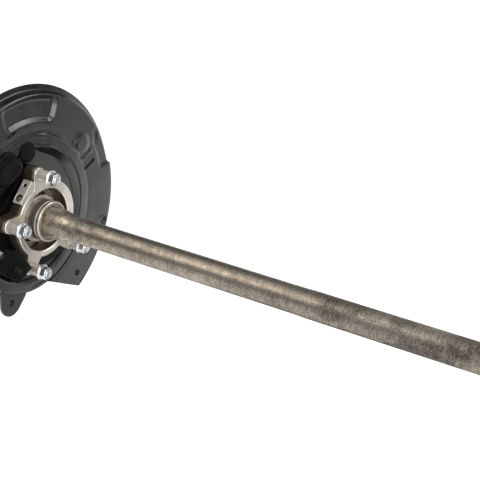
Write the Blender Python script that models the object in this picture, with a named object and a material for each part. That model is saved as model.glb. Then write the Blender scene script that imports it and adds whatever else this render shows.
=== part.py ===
"""Rear axle shaft assembly of a light truck, as it is sold ready pressed.

X runs along the shaft and points inboard, to the splined end. Z is up.
The origin is on the shaft's axis, in the bearing case's machined inboard face.
Sizes are in millimetres and are scaled to metres where a mesh is made.
"""
import math

import bmesh
import bpy
from mathutils import Matrix, Vector

MM = 0.001
GAP = 0.3

# Axle shaft
SHAFT_R = 16.0
INNER_SHAFT_R = SHAFT_R + 0.4
SEAT_R = 20.0
SEAT_END_X = 22.0
TAPER_LENGTH = 30.0
SPLINE_R = INNER_SHAFT_R
SPLINE_ROOT_DEPTH = 1.3
SPLINE_TEETH = 30
SPLINE_LENGTH = 66.0
SHAFT_END_X = 672.0
SHOULDER_R = SEAT_R + 6.0

# Bearing
BEARING_OUTER_R = 40.0
BEARING_WIDTH = 23.0
BEARING_FRONT_X = -24.5
BALL_COUNT = 9
BALL_R = 0.31 * (BEARING_OUTER_R - SEAT_R)
RACE_WALL = 0.26 * (BEARING_OUTER_R - SEAT_R)
CAGE_WALL = 1.6

# Retaining collar and sensor ring
COLLAR_R = SEAT_R + 6.7
COLLAR_FRONT_X = 10.6
SENSOR_RING_R = COLLAR_R + 4.5
SENSOR_RING_FRONT_X = -10.2
SENSOR_RING_DEPTH = 12.0
SENSOR_RING_WALL = 1.6
SENSOR_WINDOWS = 24

# Case bolts, sleeves and nuts
BOLT_R = 5.0
BOLT_END = 1.2
BOLT_HEAD_R = BOLT_R + 3.6
BOLT_HEAD_HEIGHT = 6.0
SLEEVE_R = BOLT_R + 2.8
SLEEVE_LENGTH = 17.4
NUT_ACROSS_FLATS = 2 * BOLT_R + 4.6
NUT_FLANGE_R = BOLT_R + 5.3
NUT_HEIGHT = 10.4

# Bearing case
CASE_BORE_R = BEARING_OUTER_R + 1.2
CASE_BACK_X = -18.7
CASE_WEB_R = CASE_BORE_R + 8.3
CASE_LOBE = 4.0
CASE_LOBE_DEG = 22.0
EAR_R = BOLT_R + 4.5
HUB_R = BEARING_OUTER_R + 7.6
HUB_TO_BOLT_HEAD = 7.8
BOLT_CIRCLE_R = HUB_R + HUB_TO_BOLT_HEAD + BOLT_HEAD_R
BOLT_DEGREES = (94.0, 166.0, 238.0, 310.0)
SEAL_SEAT_R = BEARING_OUTER_R - 2.5
SEAL_WIDTH = 7.5
HUB_END_X = BEARING_FRONT_X - BEARING_WIDTH - SEAL_WIDTH - 3.0
FORGING_STEP = 1.2
SNAP_RING_THICK = 1.6
PAD_DEG = 134.6
PAD_HEIGHT = CASE_BORE_R + 14.6
PAD_DEPTH = 15.0
PAD_FROM = -29.5
PAD_TO = 3.0
SENSOR_HOLE_R = 5.0
SENSOR_HOLE_ALONG = -4.6
SENSOR_SCREW_R = 2.5
SENSOR_SCREW_ALONG = -22.0

# Wheel flange
FLANGE_THICK = 11.0
FLANGE_FACE_X = HUB_END_X - 9.0 - FLANGE_THICK
STUD_COUNT = 6
STUD_CIRCLE_R = 69.85
STUD_R = 6.0
STUD_LENGTH = 38.0
STUD_HEAD_HEIGHT = 5.0
FLANGE_R = STUD_CIRCLE_R + 16.15
PILOT_R = STUD_CIRCLE_R - 16.85
PILOT_HEIGHT = 9.0
ACCESS_HOLE_R = 12.0

# Anchor plate between the case and the backing plate
ANCHOR_THICK = 9.0
ANCHOR_TOP_LOBE_R = 9.5
ANCHOR_BOTTOM_LOBE_R = 21.0

# Backing plate
SHEET = 2.8
FLOOR_R = BOLT_CIRCLE_R + 22.5
RIDGE_R = FLOOR_R + 4.5
RIDGE_HEIGHT = 5.8
FACE_HEIGHT = 3.3
FACE_FROM_R = FLOOR_R + 18.5
RIM_R = 158.0
LIP_R = RIM_R + 10.0
LIP_DEPTH = 13.7
RECESS_FROM_DEG = 64.5
RECESS_TO_DEG = 103.0
RECESS_TO_RIM = 8.0
RECESS_DEPTH = 5.0
CALIPER_EAR_R = 18.3
CALIPER_HOLE_R = 4.6
CALIPER_HOLE_TO_RIM = 16.9
CALIPER_HOLE_DEGREES = (303.17, 244.68)
CALIPER_GAP_R = FACE_FROM_R
CALIPER_GAP_RIGHT_DEG = 278.9
CALIPER_GAP_LEFT_DEG = 226.0
SEAT_BOSS_WALL = 2.5
PLUG_R = 11.5
PLUG_PLACE = (0.0, BOLT_CIRCLE_R + ANCHOR_TOP_LOBE_R + 0.5 + SEAT_BOSS_WALL + PLUG_R)
BOOT_LENGTH = 46.0
BOOT_WIDTH = 30.0
BOOT_DEG = 118.8
BOOT_TILT_DEG = 25.0
BOOT_HEIGHT = 21.0

# Cable bracket
BRACKET_THICK = 3.0
BRACKET_TAB_X = 5.0
BRACKET_TAB_DEG = 215.75
BRACKET_TAB_R = BOLT_CIRCLE_R + 9.93
BRACKET_FOOT_WIDTH = 19.0
BRACKET_FOOT_LENGTH = 14.0
BRACKET_BOLT_R = 3.0

ANCHOR_FRONT_X = CASE_BACK_X - GAP
FLOOR_X = ANCHOR_FRONT_X - ANCHOR_THICK - GAP
RIDGE_X = FLOOR_X + RIDGE_HEIGHT
FACE_X = FLOOR_X + FACE_HEIGHT
SEAT_BOSS_X = RIDGE_X + 0.8

MATERIALS = {
    "forged_steel": ((0.16, 0.14, 0.12), 0.45, 0.9),
    "machined_steel": ((0.55, 0.53, 0.50), 0.40, 0.9),
    "ground_steel": ((0.36, 0.34, 0.32), 0.25, 1.0),
    "bright_zinc": ((0.66, 0.69, 0.72), 0.28, 1.0),
    "black_coat": ((0.035, 0.035, 0.036), 0.45, 0.2),
    "black_rubber": ((0.02, 0.02, 0.02), 0.7, 0.0),
    "cage_steel": ((0.45, 0.42, 0.38), 0.4, 0.9),
}


def clear_scene():
    for obj in list(bpy.data.objects):
        bpy.data.objects.remove(obj, do_unlink=True)


def material(name):
    mat = bpy.data.materials.get(name)
    if mat is None:
        colour, roughness, metallic = MATERIALS[name]
        mat = bpy.data.materials.new(name)
        mat.use_nodes = True
        shader = mat.node_tree.nodes["Principled BSDF"]
        shader.inputs["Base Color"].default_value = (*colour, 1.0)
        shader.inputs["Roughness"].default_value = roughness
        shader.inputs["Metallic"].default_value = metallic
    return mat


def make_object(name, bm, finish=None, parent=None):
    """Turn a bmesh in millimetres into an object in metres."""
    bmesh.ops.recalc_face_normals(bm, faces=bm.faces)
    bmesh.ops.scale(bm, vec=(MM, MM, MM), verts=bm.verts)
    mesh = bpy.data.meshes.new(name)
    bm.to_mesh(mesh)
    bm.free()
    mesh.shade_smooth()
    mesh.set_sharp_from_angle(angle=math.radians(30))
    obj = bpy.data.objects.new(name, mesh)
    bpy.context.scene.collection.objects.link(obj)
    if finish:
        mesh.materials.append(material(finish))
    if parent:
        obj.parent = parent
    return obj


def pivot(name):
    """An empty on the shaft's axis, which a turning group hangs from."""
    empty = bpy.data.objects.new(name, None)
    bpy.context.scene.collection.objects.link(empty)
    return empty


def polar(radius, degrees):
    t = math.radians(degrees)
    return radius * math.cos(t), radius * math.sin(t)


def even_angles(count):
    return [2 * math.pi * i / count for i in range(count)]


def skin(bm, rings, closed):
    """Join rings of vertices with quads. A closed skin also joins its last ring to its first."""
    count = len(rings[0])
    pairs = list(zip(rings, rings[1:]))
    if closed:
        pairs.append((rings[-1], rings[0]))
    for ring_a, ring_b in pairs:
        for i in range(count):
            j = (i + 1) % count
            bm.faces.new((ring_a[i], ring_a[j], ring_b[j], ring_b[i]))
    if not closed:
        bm.faces.new(rings[0])
        bm.faces.new(rings[-1])
    return bm


def loft(rows, angles, closed):
    """Skin rings about the X axis from rows of (x, radius). A radius may be a function of angle."""
    bm = bmesh.new()
    rings = []
    for x, radius in rows:
        ring = []
        for angle in angles:
            size = radius(angle) if callable(radius) else radius
            ring.append(bm.verts.new((x, size * math.cos(angle), size * math.sin(angle))))
        rings.append(ring)
    return skin(bm, rings, closed)


def turned_ring(name, section, steps, finish, parent=None):
    """A ring turned from a closed section of (x, radius) points."""
    return make_object(name, loft(section, even_angles(steps), True), finish, parent)


def turned_bar(name, outline, steps, finish, parent=None):
    """A solid bar turned from an outline that runs from one end face to the other."""
    return make_object(name, loft(outline, even_angles(steps), False), finish, parent)


def arc(centre, radius, start_deg, end_deg, steps):
    """Points on an arc, both ends included."""
    points = []
    for i in range(steps + 1):
        a, b = polar(radius, start_deg + (end_deg - start_deg) * i / steps)
        points.append((centre[0] + a, centre[1] + b))
    return points


def disc(centre, radius, steps=20):
    return arc(centre, radius, 0, 360 - 360 / steps, steps - 1)


def capsule(centre, length, width, degrees):
    """A round-ended slot outline. Its length lies along the direction given in degrees."""
    along = Vector(polar(1, degrees))
    outline = []
    for side in (1, -1):
        end = Vector(centre) + along * (length - width) / 2 * side
        outline += arc(end, width / 2, degrees - 90 * side, degrees - 90 * side + 180, 6)
    return outline


def sector(radius_from, radius_to, from_deg, to_deg, steps=10):
    inner = arc((0, 0), radius_from, to_deg, from_deg, steps)
    outer = arc((0, 0), radius_to, from_deg, to_deg, steps)
    return outer + inner


def slab(bm, corners, thickness):
    """Extrude a flat face of 3-D corners along a vector."""
    face = bm.faces.new([bm.verts.new(corner) for corner in corners])
    result = bmesh.ops.extrude_face_region(bm, geom=[face])
    moved = [item for item in result["geom"] if isinstance(item, bmesh.types.BMVert)]
    bmesh.ops.translate(bm, vec=thickness, verts=moved)
    return bm


def prism(bm, outline, x_from, x_to):
    """Extrude a (y, z) outline along X."""
    return slab(bm, [Vector((x_from, y, z)) for y, z in outline], Vector((x_to - x_from, 0, 0)))


def turns_right(a, b, c):
    return (b[0] - a[0]) * (c[1] - a[1]) - (b[1] - a[1]) * (c[0] - a[0]) <= 0


def hull_outline(circles, steps=20):
    """Convex outline round circles of (centre, radius)."""
    points = set()
    for centre, radius in circles:
        points.update((round(a, 5), round(b, 5)) for a, b in disc(centre, radius, steps))
    ordered = sorted(points)

    def chain(sequence):
        kept = []
        for p in sequence:
            while len(kept) > 1 and turns_right(kept[-2], kept[-1], p):
                kept.pop()
            kept.append(p)
        return kept[:-1]

    return chain(ordered) + chain(ordered[::-1])


def cutter(name, bm):
    """A hidden body for a Boolean."""
    obj = make_object(name, bm)
    obj.hide_render = True
    obj.display_type = "WIRE"
    return obj


def combine(obj, other, operation):
    modifier = obj.modifiers.new(other.name, "BOOLEAN")
    modifier.operation = operation
    modifier.solver = "EXACT"
    modifier.object = other


def splined(depth):
    """Radius of the spline's crests, or of its roots where the depth takes them lower."""
    def radius(angle):
        step = round(angle * SPLINE_TEETH / math.pi)
        return SPLINE_R if step % 2 else SPLINE_R - depth
    return radius


def shaft_outline():
    """Outline from the splined end to the centre drilling in the wheel flange."""
    spline_from = SHAFT_END_X - SPLINE_LENGTH
    taper_end = SEAT_END_X + TAPER_LENGTH
    bearing_back = BEARING_FRONT_X - BEARING_WIDTH - GAP
    back = FLANGE_FACE_X + FLANGE_THICK
    relief = SPLINE_R - SPLINE_ROOT_DEPTH - 0.3
    middle = (spline_from + taper_end) / 2
    rows = [
        (SHAFT_END_X, SPLINE_R - 2.0),
        (SHAFT_END_X - 2.5, splined(SPLINE_ROOT_DEPTH)),
        (spline_from, splined(SPLINE_ROOT_DEPTH)),
        (spline_from - 2.0, relief),
        (spline_from - 8.0, relief),
        (spline_from - 12.0, INNER_SHAFT_R),
        (middle + 60.0, INNER_SHAFT_R),
        (middle + 50.0, SHAFT_R),
    ]
    for share in (0.0, 0.25, 0.5, 0.75, 1.0):
        rise = 3 * share ** 2 - 2 * share ** 3
        rows.append((taper_end - TAPER_LENGTH * share, SHAFT_R + (SEAT_R - SHAFT_R) * rise))
    rows += [
        (bearing_back, SEAT_R),
        (bearing_back, SHOULDER_R - 1.0),
        (bearing_back - 1.0, SHOULDER_R),
        (back + 6.5, SHOULDER_R),
        (back + 3.0, SHOULDER_R + 2.2),
        (back + 0.8, SHOULDER_R + 8.0),
        (back, SHOULDER_R + 18.0),
        (back, FLANGE_R - 1.5),
        (back - 1.5, FLANGE_R),
        (FLANGE_FACE_X + 1.5, FLANGE_R),
        (FLANGE_FACE_X, FLANGE_R - 1.5),
        (FLANGE_FACE_X, PILOT_R),
        (FLANGE_FACE_X - PILOT_HEIGHT + 1.5, PILOT_R),
        (FLANGE_FACE_X - PILOT_HEIGHT, PILOT_R - 1.5),
        (FLANGE_FACE_X - PILOT_HEIGHT, PILOT_R - 12.0),
        (FLANGE_FACE_X - 1.0, PILOT_R - 17.0),
        (FLANGE_FACE_X - 1.0, 5.5),
        (FLANGE_FACE_X + 5.0, 1.5),
    ]
    return rows


def build_axle_shaft(parent):
    """One forging: wheel flange, bearing seat, tapered shaft and splined end."""
    shaft = turned_bar("axle_shaft", shaft_outline(), SPLINE_TEETH * 2, "forged_steel", parent)
    front, back = FLANGE_FACE_X + FLANGE_THICK + 2, FLANGE_FACE_X - 2
    holes = bmesh.new()
    for i in range(STUD_COUNT):
        prism(holes, disc(polar(STUD_CIRCLE_R, 360 * i / STUD_COUNT), STUD_R + GAP, 12), front, back)
    for i in range(2):
        place = polar(STUD_CIRCLE_R - 2.0, (i * STUD_COUNT / 2 + 0.5) * 360 / STUD_COUNT)
        prism(holes, disc(place, ACCESS_HOLE_R, 20), front, back)
    combine(shaft, cutter("flange_holes", holes), "DIFFERENCE")


def build_wheel_studs(parent):
    """Studs pressed in from the flange's back, with round heads."""
    head = FLANGE_FACE_X + FLANGE_THICK + GAP
    end = FLANGE_FACE_X - STUD_LENGTH
    outline = [
        (head + STUD_HEAD_HEIGHT, STUD_R + 1.6),
        (head + STUD_HEAD_HEIGHT - 1.0, STUD_R + 2.6),
        (head, STUD_R + 2.6),
        (head, STUD_R),
        (FLANGE_FACE_X - 2.0, STUD_R),
        (FLANGE_FACE_X - 2.6, STUD_R - 0.6),
        (end + 6.0, STUD_R - 0.6),
        (end + 4.5, STUD_R - 1.6),
        (end, STUD_R - 2.0),
    ]
    for i in range(STUD_COUNT):
        stud = turned_bar(f"wheel_stud_{i + 1}", outline, 12, "bright_zinc", parent)
        stud.location = Vector((0, *polar(STUD_CIRCLE_R, 360 * i / STUD_COUNT))) * MM


def inner_race_r():
    return SEAT_R + GAP + RACE_WALL


def outer_race_r():
    return BEARING_OUTER_R - RACE_WALL


def ball_circle_r():
    return (inner_race_r() + outer_race_r()) / 2


def ball_groove(side, race_r):
    """The arc of a ball groove as (x, radius) points. The side is 1 for the outer ring."""
    middle = BEARING_FRONT_X - BEARING_WIDTH / 2
    centre_r = ball_circle_r()
    radius = BALL_R + GAP
    half = math.sqrt(radius ** 2 - (race_r - centre_r) ** 2)
    points = []
    for i in range(6):
        x = -half + 2 * half * i / 5
        points.append((middle + x, centre_r + side * math.sqrt(radius ** 2 - x ** 2)))
    return points


def build_bearing_rings(axle_parent):
    front = BEARING_FRONT_X
    back = front - BEARING_WIDTH
    bore = SEAT_R + GAP
    outer = [(back, outer_race_r())] + ball_groove(1, outer_race_r()) + [
        (front, outer_race_r()),
        (front, BEARING_OUTER_R - 1.0),
        (front - 1.0, BEARING_OUTER_R),
        (back, BEARING_OUTER_R),
    ]
    turned_ring("bearing_outer_ring", outer, 40, "ground_steel")
    inner = [(back, inner_race_r())] + ball_groove(-1, inner_race_r()) + [
        (front, inner_race_r()),
        (front, bore + 0.8),
        (front - 0.8, bore),
        (back, bore),
    ]
    turned_ring("bearing_inner_ring", inner, 36, "ground_steel", axle_parent)


def build_cage_and_balls(parent):
    """A cage with a pocket for each ball, and the balls."""
    middle = BEARING_FRONT_X - BEARING_WIDTH / 2
    half = BALL_R + 2.4
    section = [
        (middle + half, ball_circle_r() - CAGE_WALL),
        (middle + half, ball_circle_r() + CAGE_WALL),
        (middle - half, ball_circle_r() + CAGE_WALL),
        (middle - half, ball_circle_r() - CAGE_WALL),
    ]
    cage = turned_ring("bearing_cage", section, 36, "cage_steel", parent)
    places = []
    for i in range(BALL_COUNT):
        places.append(Vector((middle, *polar(ball_circle_r(), 360 * i / BALL_COUNT))))
    pockets = bmesh.new()
    for place in places:
        spot = Matrix.Translation(place)
        bmesh.ops.create_uvsphere(pockets, u_segments=12, v_segments=6, radius=BALL_R + GAP, matrix=spot)
    combine(cage, cutter("cage_pockets", pockets), "DIFFERENCE")
    for i, place in enumerate(places):
        bm = bmesh.new()
        bmesh.ops.create_uvsphere(bm, u_segments=12, v_segments=6, radius=BALL_R)
        ball = make_object(f"bearing_ball_{i + 1}", bm, "ground_steel", parent)
        ball.location = place * MM


def build_collar(parent):
    """Retaining collar pressed on the shaft in front of the sensor ring."""
    bore = SEAT_R + GAP
    front = COLLAR_FRONT_X
    back = SENSOR_RING_FRONT_X + GAP
    section = [
        (front, bore + 2.0),
        (front, COLLAR_R - 1.6),
        (front - 1.6, COLLAR_R),
        (front - 9.0, COLLAR_R),
        (front - 9.6, COLLAR_R - 0.7),
        (front - 11.0, COLLAR_R - 0.7),
        (front - 11.6, COLLAR_R),
        (back, COLLAR_R),
        (back, bore),
        (front - 2.0, bore),
    ]
    turned_ring("retaining_collar", section, 40, "ground_steel", parent)


def build_sensor_ring(parent):
    """Pressed steel cup with windows in its rim, read by the wheel speed sensor."""
    front = SENSOR_RING_FRONT_X
    back = front - SENSOR_RING_DEPTH
    bore = SEAT_R + GAP
    wall = SENSOR_RING_WALL
    outer = SENSOR_RING_R
    section = [
        (front, bore),
        (front, outer - 1.0),
        (front - 1.0, outer),
        (back, outer),
        (back, outer - wall),
        (front - wall, outer - wall),
        (front - wall, bore + wall),
        (BEARING_FRONT_X + GAP, bore + wall),
        (BEARING_FRONT_X + GAP, bore),
    ]
    ring = turned_ring("speed_sensor_ring", section, SENSOR_WINDOWS * 2, "ground_steel", parent)
    windows = bmesh.new()
    pitch_deg = 360 / SENSOR_WINDOWS
    for i in range(SENSOR_WINDOWS):
        outline = sector(outer - wall - 1, outer + 1, pitch_deg * (i + 0.25), pitch_deg * (i + 0.75), 1)
        prism(windows, outline, front - 3.0, back + 1.6)
    combine(ring, cutter("sensor_windows", windows), "DIFFERENCE")


def blend_up(a, b, softness):
    """The larger of two radii, with a rounded inside corner where they meet."""
    if abs(a - b) > softness:
        return max(a, b)
    return max(a, b) + (1 - abs(a - b) / softness) ** 2 * softness / 4


def case_radius(angle, grow=0.0):
    """Radius of the bearing case's flange: a round web that flows into four ears."""
    degrees = math.degrees(angle)
    radius = CASE_WEB_R + CASE_LOBE * max(0.0, math.cos(math.radians(degrees - CASE_LOBE_DEG)))
    for ear in BOLT_DEGREES:
        off = abs(math.radians((degrees - ear + 180) % 360 - 180))
        if off > math.radians(60):
            continue
        across = BOLT_CIRCLE_R * math.sin(off)
        if across < EAR_R:
            reach = BOLT_CIRCLE_R * math.cos(off) + math.sqrt(EAR_R ** 2 - across ** 2)
        else:
            reach = BOLT_CIRCLE_R - (across - EAR_R) * 2.3
        radius = blend_up(radius, reach, 7.0)
    return radius + grow


def case_angles():
    """Angles round the case, closer together over the ears and their fillets."""
    steps = []
    followers = BOLT_DEGREES[1:] + (BOLT_DEGREES[0] + 360,)
    for ear, following in zip(BOLT_DEGREES, followers):
        for off in (0, 3.5, 6.2, 8, 9.5, 12.5, 17):
            steps += [ear + off, following - off]
        span = following - ear - 34
        pieces = round(span / 9.5)
        steps += [ear + 17 + span * k / pieces for k in range(1, pieces)]
    return sorted(math.radians(s) for s in {round(s % 360, 4) for s in steps})


def build_bearing_case():
    """Forged case with a machined inboard face, four bolt ears and a speed sensor pad."""
    snap_front = BEARING_FRONT_X + 2 * GAP + SNAP_RING_THICK
    bearing_back = BEARING_FRONT_X - BEARING_WIDTH - GAP
    seal_front = HUB_END_X + SEAL_WIDTH
    bore = BEARING_OUTER_R + GAP
    rows = [
        (0.0, CASE_BORE_R + 1.0),
        (0.0, lambda angle: case_radius(angle, -0.8)),
        (-0.8, case_radius),
        (-3.0, case_radius),
        (-4.2, lambda angle: case_radius(angle, FORGING_STEP)),
        (CASE_BACK_X, lambda angle: case_radius(angle, FORGING_STEP)),
        (CASE_BACK_X, HUB_R - GAP),
        (HUB_END_X, HUB_R - GAP),
        (HUB_END_X, SEAL_SEAT_R),
        (seal_front, SEAL_SEAT_R),
        (seal_front, bore - 5.0),
        (bearing_back, bore - 5.0),
        (bearing_back, bore),
        (BEARING_FRONT_X + GAP, bore),
        (BEARING_FRONT_X + GAP, CASE_BORE_R + 1.6),
        (snap_front, CASE_BORE_R + 1.6),
        (snap_front, CASE_BORE_R),
        (-1.0, CASE_BORE_R),
    ]
    case = make_object("bearing_case", loft(rows, case_angles(), True), "machined_steel")
    combine(case, sensor_pad(), "UNION")
    combine(case, case_holes(), "DIFFERENCE")


def pad_directions():
    """Directions of the sensor pad: along the shaft, along the pad and out of it."""
    return Vector((1, 0, 0)), Vector((0, *polar(1, PAD_DEG + 90))), Vector((0, *polar(1, PAD_DEG)))


def sensor_pad():
    axial, along, outward = pad_directions()
    bottom = outward * (CASE_BORE_R + 2.5)
    corners = []
    for x, side in ((-0.5, PAD_FROM), (-0.5, PAD_TO), (-PAD_DEPTH, PAD_TO), (-PAD_DEPTH, PAD_FROM)):
        corners.append(bottom + axial * x + along * side)
    return cutter("sensor_pad", slab(bmesh.new(), corners, outward * (PAD_HEIGHT - bottom.length)))


def rod(bm, centre, turn, radius, length, steps):
    """A plain cylinder whose axis is the third direction of a turn."""
    bmesh.ops.create_cone(
        bm, cap_ends=True, segments=steps, radius1=radius, radius2=radius, depth=length,
        matrix=Matrix.Translation(centre) @ turn,
    )


def turn_to(first, second, third):
    return Matrix((first, second, third)).transposed().to_4x4()


def case_holes():
    """Bolt holes along X, and the sensor's two holes across the pad."""
    bm = bmesh.new()
    for degrees in BOLT_DEGREES:
        prism(bm, disc(polar(BOLT_CIRCLE_R, degrees), BOLT_R + GAP, 16), 2.0, CASE_BACK_X - 2.0)
    axial, along, outward = pad_directions()
    through = PAD_HEIGHT - CASE_BORE_R + 10.0
    holes = (
        (SENSOR_HOLE_ALONG, SENSOR_HOLE_R, through, 18),
        (SENSOR_SCREW_ALONG, SENSOR_SCREW_R, 9.0, 12),
    )
    for side, radius, depth, steps in holes:
        centre = axial * (-PAD_DEPTH / 2 - 1.0) + along * side + outward * (PAD_HEIGHT + 2 - depth / 2)
        rod(bm, centre, turn_to(axial, along, outward), radius, depth, steps)
    return cutter("case_holes", bm)


def build_snap_ring():
    """Spring ring in the case's groove in front of the bearing, with its gap at the bottom."""
    back = BEARING_FRONT_X + 2 * GAP
    front = back + SNAP_RING_THICK - GAP
    section = [
        (front, CASE_BORE_R - 3.4),
        (front, CASE_BORE_R + 1.2),
        (back, CASE_BORE_R + 1.2),
        (back, CASE_BORE_R - 3.4),
    ]
    ring = turned_ring("bearing_snap_ring", section, 40, "ground_steel")
    gap = prism(bmesh.new(), sector(CASE_BORE_R - 6, CASE_BORE_R + 4, 262, 278, 2), front + 2, back - 2)
    combine(ring, cutter("snap_ring_gap", gap), "DIFFERENCE")


def build_hub_seal():
    """Oil seal behind the bearing: a steel cup, and a rubber lip that runs on the shaft."""
    front = HUB_END_X + SEAL_WIDTH - GAP
    back = HUB_END_X + 0.4
    outer = SEAL_SEAT_R - GAP
    wall = 1.2
    room = SEAL_SEAT_R - SHOULDER_R
    cup = [
        (front, outer - wall),
        (front, outer),
        (back, outer),
        (back, SHOULDER_R + room * 0.44),
        (back + wall, SHOULDER_R + room * 0.44),
        (back + wall, outer - wall),
    ]
    turned_ring("hub_seal_cup", cup, 40, "machined_steel")
    seat = back + wall + GAP
    lip = [
        (seat, outer - wall - GAP),
        (seat, SHOULDER_R + room * 0.17),
        (back + 0.6, SHOULDER_R + GAP),
        (back + 2.2, SHOULDER_R + GAP),
        (front - 0.6, SHOULDER_R + room * 0.23),
        (seat + 1.8, SHOULDER_R + room * 0.38),
        (seat + 1.8, outer - wall - GAP),
    ]
    turned_ring("hub_seal_lip", lip, 32, "black_rubber")


def hexagon(across_flats):
    def radius(angle):
        return across_flats / 2 / math.cos(math.radians(math.degrees(angle) % 60 - 30))
    return radius


def build_case_fasteners():
    """Four bolts from behind the backing plate, each with a spacer sleeve and a flange nut."""
    sleeve_to = GAP + SLEEVE_LENGTH
    nut_from = sleeve_to + GAP
    nut_to = nut_from + NUT_HEIGHT
    head = FLOOR_X - SHEET - GAP
    bore = BOLT_R + GAP
    bolt = [
        (head - BOLT_HEAD_HEIGHT, BOLT_HEAD_R - 1.2),
        (head - BOLT_HEAD_HEIGHT + 1.2, BOLT_HEAD_R),
        (head, BOLT_HEAD_R),
        (head, BOLT_R),
        (nut_to + BOLT_END - 1.0, BOLT_R),
        (nut_to + BOLT_END, BOLT_R - 1.0),
    ]
    sleeve = [
        (GAP, bore),
        (GAP, SLEEVE_R - 0.5),
        (GAP + 0.5, SLEEVE_R),
        (sleeve_to - 0.5, SLEEVE_R),
        (sleeve_to, SLEEVE_R - 0.5),
        (sleeve_to, bore),
    ]
    flats = hexagon(NUT_ACROSS_FLATS)
    nut = [
        (nut_from, bore),
        (nut_from, NUT_FLANGE_R - 0.4),
        (nut_from + 0.6, NUT_FLANGE_R),
        (nut_from + 1.5, NUT_FLANGE_R),
        (nut_from + 3.0, flats),
        (nut_to - 1.0, flats),
        (nut_to, NUT_ACROSS_FLATS / 2 - 0.3),
        (nut_to, bore),
    ]
    for i, degrees in enumerate(BOLT_DEGREES):
        pieces = [
            turned_bar(f"case_bolt_{i + 1}", bolt, 14, "bright_zinc"),
            turned_ring(f"bolt_sleeve_{i + 1}", sleeve, 18, "machined_steel"),
            turned_ring(f"flange_nut_{i + 1}", nut, 18, "bright_zinc"),
        ]
        for piece in pieces:
            piece.location = Vector((0, *polar(BOLT_CIRCLE_R, degrees))) * MM


def bracket_directions():
    """The cable bracket's tab runs inboard, is broad across, and faces up and to the left."""
    width = Vector((0, 0.517, 0.856)).normalized()
    normal = width.cross(Vector((0.87, 0.42, -0.25))).normalized() * -1
    return width.cross(normal).normalized(), width, normal


def bracket_tab():
    return Vector((BRACKET_TAB_X, *polar(BRACKET_TAB_R, BRACKET_TAB_DEG)))


def bracket_foot():
    """Corners of the foot on the anchor plate, its bolt's place, and the leg's length."""
    reach, width, normal = bracket_directions()
    seat = ANCHOR_FRONT_X + GAP
    leg = (BRACKET_TAB_X - seat) / reach.x
    outward = Vector((0, -width.z, width.y))
    start = bracket_tab() - reach * leg + width
    side = width * BRACKET_FOOT_WIDTH
    under = outward * -2.0
    out = outward * BRACKET_FOOT_LENGTH
    middle = start + side / 2 + out * 0.58
    return [start + under, start + side + under, start + side + out, start + out], (middle.y, middle.z), leg


def build_anchor_plate():
    """Thick plate that carries the parking brake's anchor, clamped behind the case."""
    bolt_place = bracket_foot()[1]
    circles = [((0, 0), HUB_R + 5.0), (bolt_place, 8.5)]
    for degrees in BOLT_DEGREES[:2]:
        circles.append((polar(BOLT_CIRCLE_R, degrees), ANCHOR_TOP_LOBE_R))
    for degrees in BOLT_DEGREES[2:]:
        circles.append((polar(BOLT_CIRCLE_R, degrees), ANCHOR_BOTTOM_LOBE_R))
    front = ANCHOR_FRONT_X
    back = front - ANCHOR_THICK
    body = prism(bmesh.new(), hull_outline(circles, 28), front, back)
    plate = make_object("anchor_plate", body, "black_coat")
    holes = bmesh.new()
    prism(holes, disc((0, 0), HUB_R, 48), front + 2, back - 2)
    for degrees in BOLT_DEGREES:
        prism(holes, disc(polar(BOLT_CIRCLE_R, degrees), BOLT_R + GAP, 16), front + 2, back - 2)
    prism(holes, disc(bolt_place, BRACKET_BOLT_R + GAP, 14), front + 2, back - 2)
    combine(plate, cutter("anchor_holes", holes), "DIFFERENCE")


def build_cable_bracket():
    """Bent bracket for the parking brake cable: a foot, a leaning tab, its boss and its lip."""
    reach, width, normal = bracket_directions()
    foot, bolt_place, leg = bracket_foot()
    tab = bracket_tab()
    thick = normal * -BRACKET_THICK
    root = -leg + BRACKET_THICK * 0.6
    outline = [(14.0, 6.7), (-7.5, 23.4), (-16.0, 20.0), (root, BRACKET_FOOT_WIDTH)]
    outline += [(root, 2.0), (-13.0, -4.0), (1.7, -17.5)]
    corners = [tab + reach * a + width * b for a, b in outline]
    bracket = make_object("cable_bracket", slab(bmesh.new(), corners, thick), "black_coat")
    foot_body = slab(bmesh.new(), foot, Vector((BRACKET_THICK, 0, 0)))
    combine(bracket, cutter("bracket_foot", foot_body), "UNION")
    edge = ((14.2, 6.5), (1.9, -17.7), (-0.9, -16.3), (11.4, 7.9))
    lip = [tab + reach * a + width * b - normal for a, b in edge]
    combine(bracket, cutter("bracket_lip", slab(bmesh.new(), lip, thick * 2.0)), "UNION")
    turn = turn_to(reach, width, normal)
    boss = bmesh.new()
    rod(boss, tab - normal * 0.2, turn, 7.2, 5.0, 24)
    combine(bracket, cutter("bracket_boss", boss), "UNION")
    holes = bmesh.new()
    rod(holes, tab, turn, 4.5, 20.0, 20)
    prism(holes, disc(bolt_place, BRACKET_BOLT_R + GAP, 14), ANCHOR_FRONT_X + 6, ANCHOR_FRONT_X - 2)
    combine(bracket, cutter("bracket_holes", holes), "DIFFERENCE")


def build_bracket_bolt():
    """Bolt that holds the cable bracket to the anchor plate."""
    head = ANCHOR_FRONT_X + GAP + BRACKET_THICK + GAP
    flats = hexagon(10.0)
    outline = [
        (head + 4.6, 4.7),
        (head + 4.0, flats),
        (head + 1.2, flats),
        (head + 1.2, 6.3),
        (head, 6.3),
        (head, BRACKET_BOLT_R),
        (ANCHOR_FRONT_X - ANCHOR_THICK + 0.5, BRACKET_BOLT_R),
    ]
    bolt = turned_bar("bracket_bolt", outline, 18, "bright_zinc")
    bolt.location = Vector((0, *bracket_foot()[1])) * MM


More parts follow.
